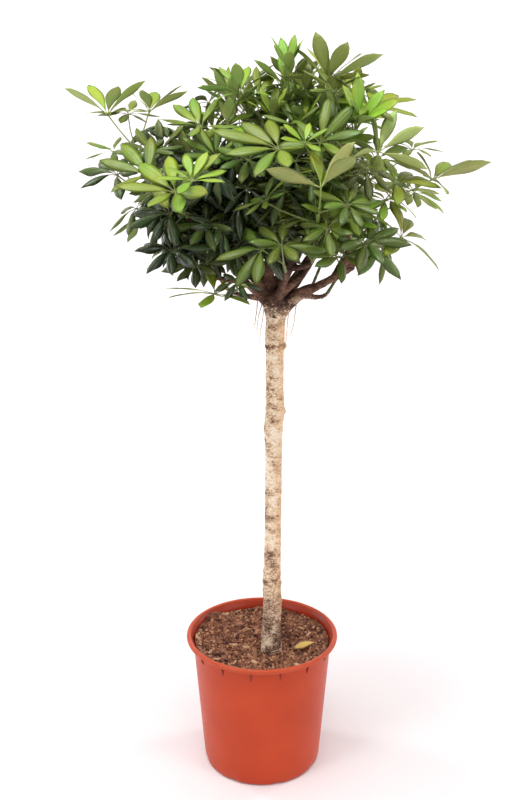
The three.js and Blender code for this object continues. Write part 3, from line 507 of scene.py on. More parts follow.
LITTER = {"count": 4200, "reach": 0.149, "chips": 0.05, "least": 0.001, "range": 0.0048, "chip_size": 1.9}
TRUNK_FOOT = {"x": 0.021, "y": -0.020, "clear": 0.026}
litter = Heap()
shapes = [taken(crumb), taken(chip)]
for i in range(LITTER["count"]):
    reach, bearing = LITTER["reach"] * math.sqrt(rng.random()), 2 * math.pi * rng.random()
    x, y = reach * math.cos(bearing), reach * math.sin(bearing)
    if math.hypot(x - TRUNK_FOOT["x"], y - TRUNK_FOOT["y"]) < TRUNK_FOOT["clear"]:
        continue
    kind = int(rng.random() < LITTER["chips"])
    size = (LITTER["least"] + LITTER["range"] * rng.random() ** 5) * (LITTER["chip_size"] if kind else 1)
    points, faces, kinds = shapes[kind]
    level = bed_height(reach * 1000) * MM + soil_lump(x, y)
    turn, tilt, roll = 2 * math.pi * rng.random(), rng.normal(0, 0.5), rng.normal(0, 0.5)
    turn = np.array(Euler((tilt, roll, turn), "YXZ").to_matrix())
    placed = points * size @ turn.T + np.array([x, y, level + 0.1 * size])
    litter.put(placed, faces, [kind] * len(faces), tone=float(rng.random()))
litter = litter.piece("litter")
print("crumbs and chips:", len(litter.data.polygons), "faces")

# %% [markdown]
# Damp peat is near black-brown, and dry peat and old bark are tan. Each lump is drier on top, so the
# colour follows noise of two sizes. Crumbs and chips carry their own tone, from dark to straw.

# %% Make the potting mix
def mix_material(name, dark, middle, pale, own_tone=False):
    """Crumbly matt stuff whose colour drifts from dark to pale."""
    skin = Skin(name, 0.95)
    grains = skin.noise(260, 4)
    source, weight = (skin.mark("tone"), 0.7) if own_tone else (skin.noise(42, 4), 0.5)
    total = skin.maths("MULTIPLY_ADD", source, weight, skin.maths("MULTIPLY", grains, 0.5))
    colour = skin.ramp(total, (0.36, dark), (0.5, middle), (0.66, pale))
    return skin.wear(colour, height=grains, strength=0.8, distance=0.0016)


soil.data.materials.append(mix_material("damp_peat", "2E150D", "74412B", "B28264"))
litter.data.materials.append(mix_material("peat_crumb", "34190F", "7A4632", "B4825F", own_tone=True))
litter.data.materials.append(mix_material("bark_chip", "5E3426", "96664A", "C49A78", own_tone=True))
soil = joined([soil, litter], "potting_mix")
finished(soil, "soil", "soil")

# %% [markdown]
# The green parts are read from their solids. Each CAD leaflet has one tip corner that meets three
# others, and from there the corners of the leaflet, the hub of its leaf and the ring of its stalk can
# be told by which corners share a triangle. So every leaf here stands exactly where the frame has it.

# %% Read each shoot
STEM = {"foot": 4.2, "bud": 1.4, "bud_length": 7}
PLATE = {"crown": 2.0, "spine": 4.0, "stalk": 1.8}
SPINE = math.hypot((PLATE["crown"] + PLATE["spine"]) * MM, PLATE["stalk"] * MM)
SAME_PLACE = 2e-5
SAME_SIDE = 6e-5
LEAST_TIP_EDGE = 0.0045
LEAST_VOTES = 4


def unit(v):
    """A vector of length one."""
    return v / norm(v)


class Corners:
    """The merged corners of a CAD node, and which corners share a triangle with each."""

    def __init__(self, node):
        mesh = frame["nodes"][node].data
        mesh.calc_loop_triangles()
        raw = np.array([v.co[:] for v in mesh.vertices])
        names = {}
        index = [names.setdefault(tuple(k), len(names)) for k in np.round(raw / SAME_PLACE).astype(int)]
        self.place = np.zeros((len(names), 3))
        self.place[index] = raw
        self.touch = defaultdict(set)
        for triangle in mesh.loop_triangles:
            a, b, c = (index[v] for v in triangle.vertices)
            self.touch[a] |= {b, c}
            self.touch[b] |= {a, c}
            self.touch[c] |= {a, b}

    def gap(self, m, n):
        """How far apart two corners are."""
        return norm(self.place[m] - self.place[n])

    def middle(self, ring):
        """The mean place of some corners."""
        return self.place[list(ring)].mean(0)

    def beside(self, ring):
        """All corners that share a triangle with one of these."""
        return {m for n in ring for m in self.touch[n]}

    def square_caps(self, side):
        """Middles and normals of the square faces with this side: the ends of a four-sided stem."""
        found = []
        pairs = ((a, b) for a in self.touch for b in self.touch[a] if a < b)
        for a, b in pairs:
            if abs(self.gap(a, b) - side * math.sqrt(2)) < SAME_SIDE:
                near = [n for n in self.touch[a] & self.touch[b]
                        if max(abs(self.gap(n, a) - side), abs(self.gap(n, b) - side)) < SAME_SIDE]
                if len(near) == 2:
                    diagonals = self.place[b] - self.place[a], self.place[near[0]] - self.place[near[1]]
                    found.append((self.middle((a, b)), unit(np.cross(*diagonals))))
        return found


def read_stalk(solid, centre, members):
    """The ring under a leaf's hub, and the middle ring and the start of its stalk if they are whole."""
    touch = solid.touch
    roots = {r for leaflet in members for r in leaflet["roots"]}
    ring = {n for r in roots for n in touch[r] | {r} if abs(solid.gap(n, centre) - SPINE) < 0.0003}
    leafy = {n for leaflet in members for n in leaflet["corners"]} | touch[centre] | {centre}
    beyond = solid.beside(ring) - ring - leafy
    side = PLATE["stalk"] * MM * math.sqrt(3)
    trios = [{a, b, c} for a in beyond for b in touch[a] & beyond for c in touch[a] & touch[b] & beyond
             if all(abs(solid.gap(i, j) - side) < 0.0001 for i, j in ((a, b), (b, c), (a, c)))]
    trio = trios[0] if trios else set()
    return ring, trio, solid.beside(trio) - trio - ring


def read_leaf(solid, centre, members):
    """One palmate leaf: its hub, its axis, its leaflets, and the course of its stalk."""
    ring, trio, start = read_stalk(solid, centre, members)
    axis = unit(solid.place[centre] - solid.middle(ring))
    hub = solid.place[centre] - axis * PLATE["crown"] * MM
    leaf = {"hub": hub, "axis": axis, "whole": len(ring) == 3 and bool(trio), "leaflets": [],
            "middle": solid.middle(trio) if trio else None, "start": solid.middle(start) if start else None}
    for leaflet in members:
        tip, inner = solid.place[leaflet["tip"]], solid.place[leaflet["inner"]]
        length = norm(tip - hub)
        along = (tip - hub) / length
        across = inner[1] - inner[0]
        across = unit(across - along * across.dot(along))
        normal = np.cross(across, along)
        lift = (inner[0] + inner[1]) / 2 - hub
        if normal.dot(axis) < 0:
            normal, across = -normal, -across
        bow = min(1.1, max(0.15, lift.dot(normal) / length / 0.12))
        leaf["leaflets"].append(
            {"along": along, "normal": normal, "across": across, "length": length, "bow": bow})
    return leaf


def read_leaflet(solid, tip):
    """The corners of the leaflet that ends at a tip."""
    touch, from_tip = solid.touch, lambda n: solid.gap(tip, n)
    rib = max(touch[tip], key=from_tip)
    outer = touch[tip] - {rib}
    rest = touch[rib] - {tip} - outer
    inner = sorted((n for n in rest if touch[n] & outer), key=from_tip)[:2]
    roots = rest - set(inner)
    crowns = touch[inner[0]] & touch[inner[1]] - {rib} - outer - roots
    corners = {tip, rib, *outer, *inner}
    return {"tip": tip, "inner": inner, "roots": roots, "crowns": crowns, "corners": corners}


def read_shoot(node):
    """The stem and the leaves of a shoot."""
    solid = Corners(node)
    tips = [n for n, near in solid.touch.items()
            if len(near) == 3 and min(solid.gap(n, m) for m in near) >= LEAST_TIP_EDGE]
    leaflets = [read_leaflet(solid, tip) for tip in tips]
    votes = Counter(c for leaflet in leaflets for c in leaflet["crowns"])
    centres = {c: [] for c, count in votes.items() if count >= LEAST_VOTES}
    for leaflet in leaflets:
        own = [c for c in centres if c in leaflet["crowns"]]
        by_root = sorted(centres, key=lambda c: min(abs(solid.gap(c, r) - SPINE) for r in leaflet["roots"]))
        centres[(own or by_root)[0]].append(leaflet)
    leaves = [read_leaf(solid, centre, members) for centre, members in centres.items()]
    foot, normal = solid.square_caps(STEM["foot"] * MM * math.sqrt(2))[0]
    middle = np.mean([leaf["hub"] for leaf in leaves], axis=0)
    along = normal if normal.dot(middle - foot) > 0 else -normal
    buds = solid.square_caps(STEM["bud"] * MM * math.sqrt(2))
    reach = max(((b - foot).dot(along) for b, _ in buds), default=0.05) - STEM["bud_length"] * MM
    return {"foot": foot, "along": along, "reach": reach, "leaves": leaves}


shoots = {name: read_shoot(name) for name in sorted(frame["nodes"]) if name.startswith("shoot_")}
all_leaves = [leaf for shoot in shoots.values() for leaf in shoot["leaves"]]
leaflet_count = sum(len(leaf["leaflets"]) for leaf in all_leaves)
print("shoots", len(shoots), "leaves", len(all_leaves), "leaflets", leaflet_count)
print("leaves without a whole stalk:", sum(not leaf["whole"] for leaf in all_leaves))

# %% [markdown]
# One leaflet is modelled, and every leaflet of the plant is a copy of it, bent to the arch of its own
# solid. It starts as a flat grid. The grid is drawn in to an outline that is narrow at the foot, widest
# past the middle, and ends in a short point. A second sheet under it closes the blade, so that the
# pale underside is a surface of its own, and a short round stalk joins it to the hub.

# %% Model one leaflet
LEAFLET = {"blade_from": 0.11, "half_width": 0.14, "thick": 0.004, "foot_below": 0.006}
OUTLINE = [(0, 0.05), (0.08, 0.19), (0.2, 0.46), (0.34, 0.76), (0.46, 0.94), (0.57, 1.0), (0.69, 0.95),
           (0.81, 0.74), (0.9, 0.46), (0.96, 0.22), (1, 0.02)]
TOP_SIDE, UNDERSIDE, STALK = 0, 1, 2


def half_width_at(share):
    """Half width of the blade at a share of its length."""
    return LEAFLET["half_width"] * float(np.interp(share, *zip(*OUTLINE)))


bpy.ops.mesh.primitive_grid_add(x_subdivisions=4, y_subdivisions=8, size=2)
blade = bpy.context.object
blade.name = "leaflet"
blade_length = 1 - LEAFLET["blade_from"]
for vertex in blade.data.vertices:
    share = (vertex.co.y + 1) / 2
    share = share + 0.05 * math.sin(2 * math.pi * share)
    vertex.co.x *= half_width_at(share)
    vertex.co.y = LEAFLET["blade_from"] + blade_length * share
with editing("SELECT"):
    bpy.ops.mesh.duplicate_move()
    bpy.ops.mesh.flip_normals()
count = len(blade.data.vertices) // 2
for vertex in blade.data.vertices:
    share = (vertex.co.y - LEAFLET["blade_from"]) / blade_length
    off_edge = abs(vertex.co.x) < half_width_at(share) - 1e-5 and 0.001 < share < 0.999
    if vertex.index >= count and off_edge:
        vertex.co.z -= LEAFLET["thick"]
for face in blade.data.polygons:
    face.material_index = UNDERSIDE if face.normal.z < 0 else TOP_SIDE
only(blade)
with editing("SELECT"):
    bpy.ops.mesh.remove_doubles(threshold=1e-6)
foot = turned("leaflet_foot", [(0.014, 0.0), (0.0105, 0.05), (0.0085, 0.15), (0.004, 0.24)], 5)
for vertex in foot.data.vertices:
    x, y, z = vertex.co
    vertex.co = (x, z, y - LEAFLET["foot_below"])
for face in foot.data.polygons:
    face.material_index = STALK
only(foot)
with editing("SELECT"):
    bpy.ops.mesh.normals_make_consistent(inside=False)
leaflet_points, leaflet_faces, leaflet_kinds = taken(blade)
foot_points, foot_faces, foot_kinds = taken(foot)
leaflet_faces += [tuple(v + len(leaflet_points) for v in f) for f in foot_faces]
leaflet_kinds += foot_kinds
leaflet_points = np.concatenate([leaflet_points, foot_points])
leaflet_uvs = [
    [(0.5 + leaflet_points[v][0] / (2 * LEAFLET["half_width"]), leaflet_points[v][1]) for v in face]
    for face in leaflet_faces
]
print("faces of a leaflet:", len(leaflet_faces))
print("leaflet reaches from", leaflet_points.min(0).round(3), "to", leaflet_points.max(0).round(3))


# %% Bend a leaflet onto its place
BLADE_RISE = {"from": 0.1, "over": 0.2}
FOLD = {"young": 0.34, "loss": 0.5, "chance": 0.1}
ROLL = {"young": 0.4, "gain": 1.7}
WAVE = {"height": 0.06, "count": 1.6, "between_sides": 2.2}
SWAY = {"twist": 0.35, "lean": 0.05}
TIP_HOOK = {"from": 0.75, "turn": 0.5}


def bent_leaflet(leaflet, hub, age, chance):
    """Points of the leaflet, bowed over its length, folded or rolled across, and a little twisted."""
    bow, length = leaflet["bow"] * (1 + 0.4 * age), leaflet["length"]
    side, s, up = leaflet_points[:, 0], leaflet_points[:, 1], leaflet_points[:, 2]
    blade = np.clip((s - BLADE_RISE["from"]) / BLADE_RISE["over"], 0, 1)
    fold = (FOLD["young"] - FOLD["loss"] * age + FOLD["chance"] * chance[0]) * blade
    roll = (ROLL["young"] + ROLL["gain"] * age) * blade
    phase = 2 * math.pi * (WAVE["count"] * s + chance[1]) + WAVE["between_sides"] * np.sign(side)
    wave = WAVE["height"] * blade * np.sin(phase)
    up = up + (fold + wave) * np.abs(side) - roll * side ** 2 / (2 * LEAFLET["half_width"])
    twist = SWAY["twist"] * chance[2] * (s - BLADE_RISE["from"])
    side, up = side * np.cos(twist) - up * np.sin(twist), side * np.sin(twist) + up * np.cos(twist)
    side = side + SWAY["lean"] * chance[3] * s * s
    turn = bow * (s - 0.5) + TIP_HOOK["turn"] * age * np.clip(s - TIP_HOOK["from"], 0, 1)
    scale = 1 / (2 * math.sin(bow / 2))
    out = (np.sin(bow * (s - 0.5)) + math.sin(bow / 2)) * scale + up * np.sin(turn)
    rise = (np.cos(bow * (s - 0.5)) - math.cos(bow / 2)) * scale + up * np.cos(turn)
    along, normal, across = leaflet["along"], leaflet["normal"], leaflet["across"]
    return hub + length * (out[:, None] * along + rise[:, None] * normal + side[:, None] * across)


print("first leaflet bends by", round(math.degrees(all_leaves[0]["leaflets"][0]["bow"])), "degrees")

# %% [markdown]
# Stalks and stems are turned once, standing on the floor and one unit long, with their swellings: a
# stalk is thick where it clasps the stem and again under the leaf. Each copy is then bent onto a smooth
# path, with rings kept square to it.

# %% Turn a stalk and a stem once
def smooth_path(start, middle, end, count=17):
    """A smooth path through three points."""
    bend = 2 * middle - (start + end) / 2
    t = np.linspace(0, 1, count)[:, None]
    return (1 - t) ** 2 * start + 2 * t * (1 - t) * bend + t ** 2 * end


def along_path(points, path):
    """Points of a piece that stands along Z from 0 to 1, bent onto a path."""
    tangents = np.gradient(path, axis=0)
    tangents /= norm(tangents, axis=1)[:, None]
    side = unit(np.cross(tangents[0], [0.31, 0.87, 0.38]))
    sides = []
    for tangent in tangents:
        side = unit(side - tangent * side.dot(tangent))
        sides.append(side)
    others = np.cross(tangents, sides)
    steps = np.linspace(0, 1, len(path))
    at = lambda rows: np.stack([np.interp(points[:, 2], steps, np.array(rows)[:, k]) for k in range(3)], 1)
    return at(path) + at(sides) * points[:, :1] + at(others) * points[:, 1:2]


def turned_once(outline, sides):
    """Points and faces of a turned piece one unit long, with radii in millimetres."""
    return taken(turned("turned_once", [(r * MM, z) for r, z in outline], sides))[:2]


def lay(heap, shape, path, kind=0, age=0.5):
    """Put a turned shape into a heap, bent onto a path."""
    points, faces = shape
    heap.put(along_path(points, path), faces, [kind] * len(faces), age=age)


stalk_shape = turned_once([(2.9, 0), (2.5, 0.04), (1.6, 0.1), (1.35, 0.3), (1.25, 0.6), (1.3, 0.9),
                           (1.8, 0.97), (2.1, 1)], 6)
stem_shape = turned_once([(3.6, 0), (3.8, 0.03), (3.3, 0.1), (3.1, 0.3), (3.5, 0.33), (3, 0.4), (2.9, 0.6),
                          (3.4, 0.64), (2.7, 0.7), (2.8, 0.85), (2.2, 0.93), (0.7, 1)], 8)
print("faces of a stalk:", len(stalk_shape[1]), "and of a stem:", len(stem_shape[1]))

# %% [markdown]
# The solids carry the leaves that draw the outline. A real shoot holds more of them, lower down and
# further in, and they are what makes the middle of the crown dark. A shoot near the top also holds
# younger ones round its end. For each of these, several places round its stem are tried, and it takes
# the one that is furthest from every other leaf.

# %% Grow the inner and the top leaves
CROWN_MIDDLE = np.array([0.015, -0.005, 1.285])
REACH = (0.055, 0.11)
TRIES = 14
LEAST_ROOM = 0.03
LEAFLETS = 7
INNER = {"per_shoot": 5, "leaflet": (0.058, 0.082), "radii": np.array([0.235, 0.25, 0.185]), "floor": 1.17}
TOP = {"per_shoot": 4, "leaflet": (0.066, 0.094), "radii": np.array([0.27, 0.29, 0.24]), "floor": 1.34}
TOP_LIFT = 26
RISE_DEGREES = {"new": 38, "droop": 78, "chance": 9}
BOW_DEGREES = {"new": 12, "gain": 46}
SHOULDER = {"left_of": -0.115, "above": 1.38}
RIGHT_LIMB = {"from": 0.03, "clear": 0.05}
RIGHT_EDGE = {"from": 0.17, "clear": 0.3}


def whorl(axis, age, length, lift):
    """Evenly spread leaflets round a leaf's axis: raised when young, hanging when old."""
    first = unit(np.cross(axis, [0.2, 0.9, 0.1]))
    second = np.cross(axis, first)
    leaflets = []
    for i in range(LEAFLETS):
        turn = 2 * math.pi * (i + 0.25 * rng.uniform(-1, 1)) / LEAFLETS
        degrees = RISE_DEGREES["new"] - RISE_DEGREES["droop"] * age + lift
        rise = math.radians(degrees + RISE_DEGREES["chance"] * rng.normal())
        flat = math.cos(turn) * first + math.sin(turn) * second
        along = math.cos(rise) * flat + math.sin(rise) * axis
        normal = math.cos(rise) * axis - math.sin(rise) * flat
        bow = math.radians(BOW_DEGREES["new"] + BOW_DEGREES["gain"] * age)
        leaflets.append({"along": along, "normal": normal, "across": np.cross(normal, along),
                         "length": length * rng.uniform(0.85, 1.1), "bow": bow})
    return leaflets


hubs = [leaf["hub"] for leaf in all_leaves]


def allowed(hub, group):
    """Whether a hub is inside its part of the crown, clear of the right limb and the left shoulder."""
    floor = group["floor"] + RIGHT_LIMB["clear"] * (hub[0] > RIGHT_LIMB["from"])
    floor += RIGHT_EDGE["clear"] * (hub[0] > RIGHT_EDGE["from"] and group is INNER)
    over_shoulder = hub[0] < SHOULDER["left_of"] and hub[2] > SHOULDER["above"]
    in_crown = np.sum(((hub - CROWN_MIDDLE) / group["radii"]) ** 2) < 1
    return in_crown and hub[2] > floor and not over_shoulder


def grow_leaf(shoot, group, share, toward, age, lift=0):
    """Add a leaf to a shoot at the freest of several places, if there is one that is allowed."""
    length = rng.uniform(*group["leaflet"])
    start = shoot["foot"] + shoot["along"] * shoot["reach"] * share
    best = None
    for _ in range(TRIES):
        way = unit(rng.normal(size=3) + toward)
        hub = start + way * rng.uniform(*REACH)
        room = min(norm(hub - other) for other in hubs)
        if allowed(hub, group) and (best is None or room > best[0]):
            best = (room, hub, way)
    if best is None or best[0] < LEAST_ROOM:
        return
    _, hub, way = best
    out = unit(hub - CROWN_MIDDLE)
    axis = unit(0.5 * way + np.array([0, 0, 0.75]) + 0.3 * out + 0.15 * rng.normal(size=3))
    middle = (start + hub) / 2 + 0.1 * norm(hub - start) * unit(way + np.array([0, 0, -0.4]))
    hubs.append(hub)
    shoot["leaves"].append({"hub": hub, "axis": axis, "start": start, "middle": middle, "whole": False,
                            "leaflets": whorl(axis, age, length, lift)})


for shoot in shoots.values():
    tip = shoot["foot"] + shoot["along"] * shoot["reach"]
    for _ in range(TOP["per_shoot"] if tip[2] > TOP["floor"] else 0):
        age = float(np.clip(0.3 + 0.16 * rng.normal(), 0.1, 0.8))
        toward = 0.5 * shoot["along"] + np.array([0, 0, 0.9])
        grow_leaf(shoot, TOP, rng.uniform(0.6, 1), toward, age, TOP_LIFT)
    for _ in range(INNER["per_shoot"]):
        right = np.clip((tip[0] - 0.03) / 0.12, 0, 1)
        age = float(np.clip(0.84 - 0.52 * right + 0.12 * rng.normal(), 0.3, 1))
        toward = 0.35 * shoot["along"] + np.array([0, 0.35, -0.25])
        grow_leaf(shoot, INNER, rng.uniform(0.05, 0.75), toward, age)
print("leaves with the inner ones:", len(hubs))

# %% [markdown]
# A leaf of this plant is thick and waxy above and matt below. Young leaves are yellow green and fold up
# along the midrib, old ones are bottle green, glossy, and roll down at the edges. The midrib and the
# side veins are paler lines that follow the leaflet's own map, and each leaflet has its own tone.

# %% Make the skin of the leaves
VEINS = {"pairs": 13, "slant": 0.42, "midrib": (0.012, 0.045), "side_share": 0.35}
LIGHT_RANGE = (0.7, 1.36)
HUE_RANGE = (0.473, 0.511)
STALK_COLOURS = ("8A9C4C", "707F40", "545F34")


def by_age(skin, colours):
    """A colour from the mesh's age mark, 0 for a new leaf to 1 for an old one."""
    return skin.ramp(skin.mark("age"), *zip((0.05, 0.45, 0.9), colours))


def leaf_material(name, colours, vein, vein_share, roughness, gleam, relief, specular=0.5):
    """Skin of a leaf: colour by age and tone, paler veins, and a faint quilting between them."""
    skin = Skin(name, roughness, ior=1.45, specular=specular)
    tone = skin.mark("tone")
    cloud = skin.noise(55, 3)
    light = skin.remap(skin.maths("MULTIPLY_ADD", cloud, 0.5, tone), 0.1, 1.4, *LIGHT_RANGE)
    shift = skin.remap(skin.noise(13, 1), 0.35, 0.65, *HUE_RANGE)
    hue = skin.maths("MULTIPLY_ADD", tone, 0.045, shift)
    inputs = {"Hue": hue, "Value": light, "Color": by_age(skin, colours)}
    toned = skin.add("HueSaturation", inputs=inputs).outputs[0]
    aside = skin.maths("ABSOLUTE", skin.maths("SUBTRACT", skin.part("X", skin.map), 0.5))
    midrib = skin.remap(aside, *VEINS["midrib"], 1, 0)
    slant = skin.maths("MULTIPLY_ADD", aside, -VEINS["slant"], skin.part("Y", skin.map))
    ripple = skin.maths("SINE", skin.maths("MULTIPLY", slant, VEINS["pairs"] * 2 * math.pi))
    side_vein = skin.remap(ripple, 0.8, 1, 0, VEINS["side_share"])
    veins = skin.maths("MAXIMUM", midrib, side_vein)
    veined = skin.mixed(skin.maths("MULTIPLY", veins, vein_share), toned, vein)
    wax = skin.maths("MULTIPLY_ADD", skin.mark("age"), 0.35, cloud)
    dull = skin.remap(wax, 0.4, 0.9, roughness + gleam, roughness - gleam)
    height = skin.maths("MULTIPLY", veins, relief)
    return skin.wear(veined, dull, height, strength=0.5, distance=0.0008)


leaf_top = leaf_material("waxy_leaf", ("8C9C24", "607026", "27331F"), "B0BA64", vein_share=0.22,
                         roughness=0.35, gleam=0.16, relief=-1.0, specular=0.55)
leaf_below = leaf_material("matt_leaf_underside", ("A6AE62", "98A25C", "7C8654"), "B8BE7C", vein_share=0.3,
                           roughness=0.6, gleam=0.05, relief=1.0)
stalk = Skin("green_stalk", 0.45, ior=1.45)
pale = stalk.remap(stalk.noise(240, 4), 0.45, 0.75, 0, 0.7)
green_stalk = stalk.wear(stalk.mixed(pale, by_age(stalk, STALK_COLOURS), "9C966C"))
print("leaf materials:", leaf_top.name, leaf_below.name, green_stalk.name)

# %% Dress every shoot
SLOT_AGES = {"leaf_young": 0.12, "leaf_grown": 0.5, "leaf_old": 0.88}
RING_REACH = 0.88
FRESH_RIGHT = {"from": 0.12, "over": 0.12, "younger": 0.36}
SUNK = {"stem": 0.0002, "stalk": 0.002, "hub": 0.0005}
for name, shoot in shoots.items():
    slot = frame["nodes"][name].data.materials[0].name
    heap = Heap()
    foot, up = shoot["foot"], shoot["along"]
    top = foot + up * (shoot["reach"] + STEM["bud_length"] * MM)
    lay(heap, stem_shape, np.linspace(foot - up * SUNK["stem"], top, 9), STALK, SLOT_AGES[slot])
    for leaf in shoot["leaves"]:
        bows = [math.degrees(leaflet["bow"]) for leaflet in leaf["leaflets"]]
        bowed = (np.median(bows) - BOW_DEGREES["new"]) / BOW_DEGREES["gain"]
        right = np.clip((leaf["hub"][0] - FRESH_RIGHT["from"]) / FRESH_RIGHT["over"], 0, 1)
        age = float(np.clip(bowed - FRESH_RIGHT["younger"] * right, 0, 1))
        end = leaf["hub"] - leaf["axis"] * SUNK["hub"]
        start = foot + up * shoot["reach"] * 0.7 if leaf["start"] is None else leaf["start"]
        start = foot + up * ((start - foot).dot(up) - SUNK["stalk"])
        middle = (start + end) / 2 - leaf["axis"] * 0.01 if leaf["middle"] is None else leaf["middle"]
        lay(heap, stalk_shape, smooth_path(start, middle, end), STALK, age)
        leaf_tone = rng.normal(0.5, 0.26)
        for leaflet in leaf["leaflets"]:
            chance = rng.uniform(-1, 1, 4)
            if name.startswith("shoot_ring") and leaf["whole"]:
                leaflet["length"] *= RING_REACH
            points = bent_leaflet(leaflet, leaf["hub"], age, chance)
            tone = float(np.clip(leaf_tone + 0.1 * rng.normal(), 0, 1))
            own_age = float(np.clip(age + 0.06 * rng.normal(), 0, 1))
            heap.put(points, leaflet_faces, leaflet_kinds, leaflet_uvs, tone, own_age)
    piece = heap.piece("leafy_" + name.removeprefix("shoot_"))
    for material in (leaf_top, leaf_below, green_stalk):
        piece.data.materials.append(material)
    finished(piece, slot, name)

# %% [markdown]
# The wood is read from the solid too. Its twigs are three-sided there, so round twigs are laid over
# them, and a few thick limbs fill the fork. Wood, twigs and limbs are then melted into one skin by a
# voxel remesh, which rounds every fork as growth does. Noise gives the bark its scars and scales.

# %% Lay round twigs over the solid's
TWIG = {"ring": 0.0044, "near": 0.006, "sunk": 0.0003, "slimmer": 0.7}
solid_wood = Corners("trunk")
twig_shape = turned_once([(7.4, 0), (6, 0.12), (5.3, 0.3), (5.6, 0.35), (4.9, 0.4), (4.6, 0.6), (5, 0.64),
                          (4.3, 0.7), (4.1, 0.9), (4.4, 0.95), (3.8, 1)], 9)
slimmed = solid_wood.place.copy()
wood = Heap()
for name, shoot in shoots.items():
    foot = shoot["foot"] - shoot["along"] * TWIG["sunk"]
    off = norm(solid_wood.place - foot, axis=1)
    near = [n for n in solid_wood.touch if off[n] < TWIG["near"]]
    end = set(sorted(near, key=lambda n: abs(off[n] - TWIG["ring"]))[:3])
    middle = solid_wood.beside(end) - end
    root = solid_wood.beside(middle) - end - middle
    for ring in (list(end), list(middle)):
        centre = solid_wood.middle(ring)
        slimmed[ring] = centre + TWIG["slimmer"] * (solid_wood.place[ring] - centre)
    path = smooth_path(solid_wood.middle(root), solid_wood.middle(middle), foot, 13)
    lay(wood, twig_shape, path)
print("twig faces:", len(wood.faces))

# %% Fill the fork
# Each limb has three points of its path, then its radius at the trunk and at its end, in millimetres.
LIMBS = [
    ((27, -12, 1034), (18, -14, 1088), (2, -18, 1150), 19.5, 12),
    ((28, -12, 1035), (34, -8, 1090), (46, 0, 1150), 19, 10),
    ((4, -24, 1066), (44, -36, 1094), (88, -46, 1136), 14, 6),
    ((30, -14, 1036), (62, -18, 1074), (110, -30, 1100), 18, 10),
    ((18, -18, 1064), (-6, -30, 1106), (-36, -52, 1138), 11, 7),
]
END_ROUNDING = 12
limb_shape = turned_once([(1000, 0), (1000, 0.05), (900, 0.2), (800, 0.4), (700, 0.6), (600, 0.8),
                          (500, 0.95), (200, 1)], 14)
for start, bend, end, wide, slim in LIMBS:
    points = limb_shape[0].copy()
    left = 1 - points[:, 2]
    taper = (slim + (wide - slim) * left) * MM
    points[:, :2] *= taper[:, None] / np.maximum(norm(points[:, :2], axis=1)[:, None], 1e-6)
    points[:, :2] *= np.clip(left * END_ROUNDING + 0.3, 0, 1)[:, None]
    path = smooth_path(*(np.array(point) * MM for point in (start, bend, end)), 13)
    lay(wood, (points, limb_shape[1]), path)
print("wood faces with the fork:", len(wood.faces))

# %% Melt the wood into one skin
# The solid's own hanging roots are folded up into the fork first, and thinner ones are hung there later.
# Loose bits that the remesh leaves are deleted: all that isn't joined to the trunk's lowest point.
ROOT_RUNS = MM * np.array([
    ((5, -32, 1065), (-6, -46, 985)), ((-10, -42, 1090), (-18, -54, 1015)),
    ((2, -30, 1070), (-11, -34, 1000)), ((56, -24, 1065), (59, -36, 970)),
    ((70, -24, 1078), (69, -30, 995)), ((46, -20, 1075), (51, -38, 1005)),
])
OF_ROOT = {"off_line": 0.0065, "from": 0.2, "off_trunk": 0.0215, "tuck": np.array([0, 0, 0.004])}
TRUNK_TOP = (0.028, -0.012)
VOXEL = 0.0024


def folded(p):
    """A corner of the wood, moved to the root's start if it belongs to a hanging root."""
    for start, end in ROOT_RUNS:
        share = np.clip((p - start).dot(end - start) / (end - start).dot(end - start), 0, 1)
        off_line = norm(p - start - share * (end - start))
        off_trunk = math.hypot(p[0] - TRUNK_TOP[0], p[1] - TRUNK_TOP[1])
        if off_line < OF_ROOT["off_line"] and share > OF_ROOT["from"] and off_trunk > OF_ROOT["off_trunk"]:
            p = start + OF_ROOT["tuck"]
    return p


twigs = wood.piece("twigs")
trunk = bpy.data.objects.new("trunk_wood", frame["nodes"]["trunk"].data.copy())
bpy.context.scene.collection.objects.link(trunk)
trunk.data.materials.clear()
only(trunk)
with editing("SELECT"):
    bpy.ops.mesh.remove_doubles(threshold=0.00002)
for vertex in trunk.data.vertices:
    nearest = np.argmin(norm(solid_wood.place - np.array(vertex.co), axis=1))
    vertex.co = folded(slimmed[nearest])
trunk = joined([trunk, twigs], "bark_and_wood")
apply_modifier(trunk, "REMESH", mode="VOXEL", voxel_size=VOXEL)
apply_modifier(trunk, "SMOOTH", factor=0.5, iterations=5)
with editing("DESELECT"):
    bpy.ops.mesh.select_mode(type="VERT")
min(trunk.data.vertices, key=lambda vertex: vertex.co.z).select = True
with editing():
    bpy.ops.mesh.select_linked()
    bpy.ops.mesh.select_all(action="INVERT")
    bpy.ops.mesh.delete(type="VERT")
print("wood faces:", len(trunk.data.polygons))

# %% [markdown]
# Old leaves leave thin level scars round a trunk, and pruned buds leave stubs. One scar under the fork
# is a broad band, and over it a knot looks out like an eye. Each point of the skin moves out by the sum
# of these, and a mark says how dark it is there.

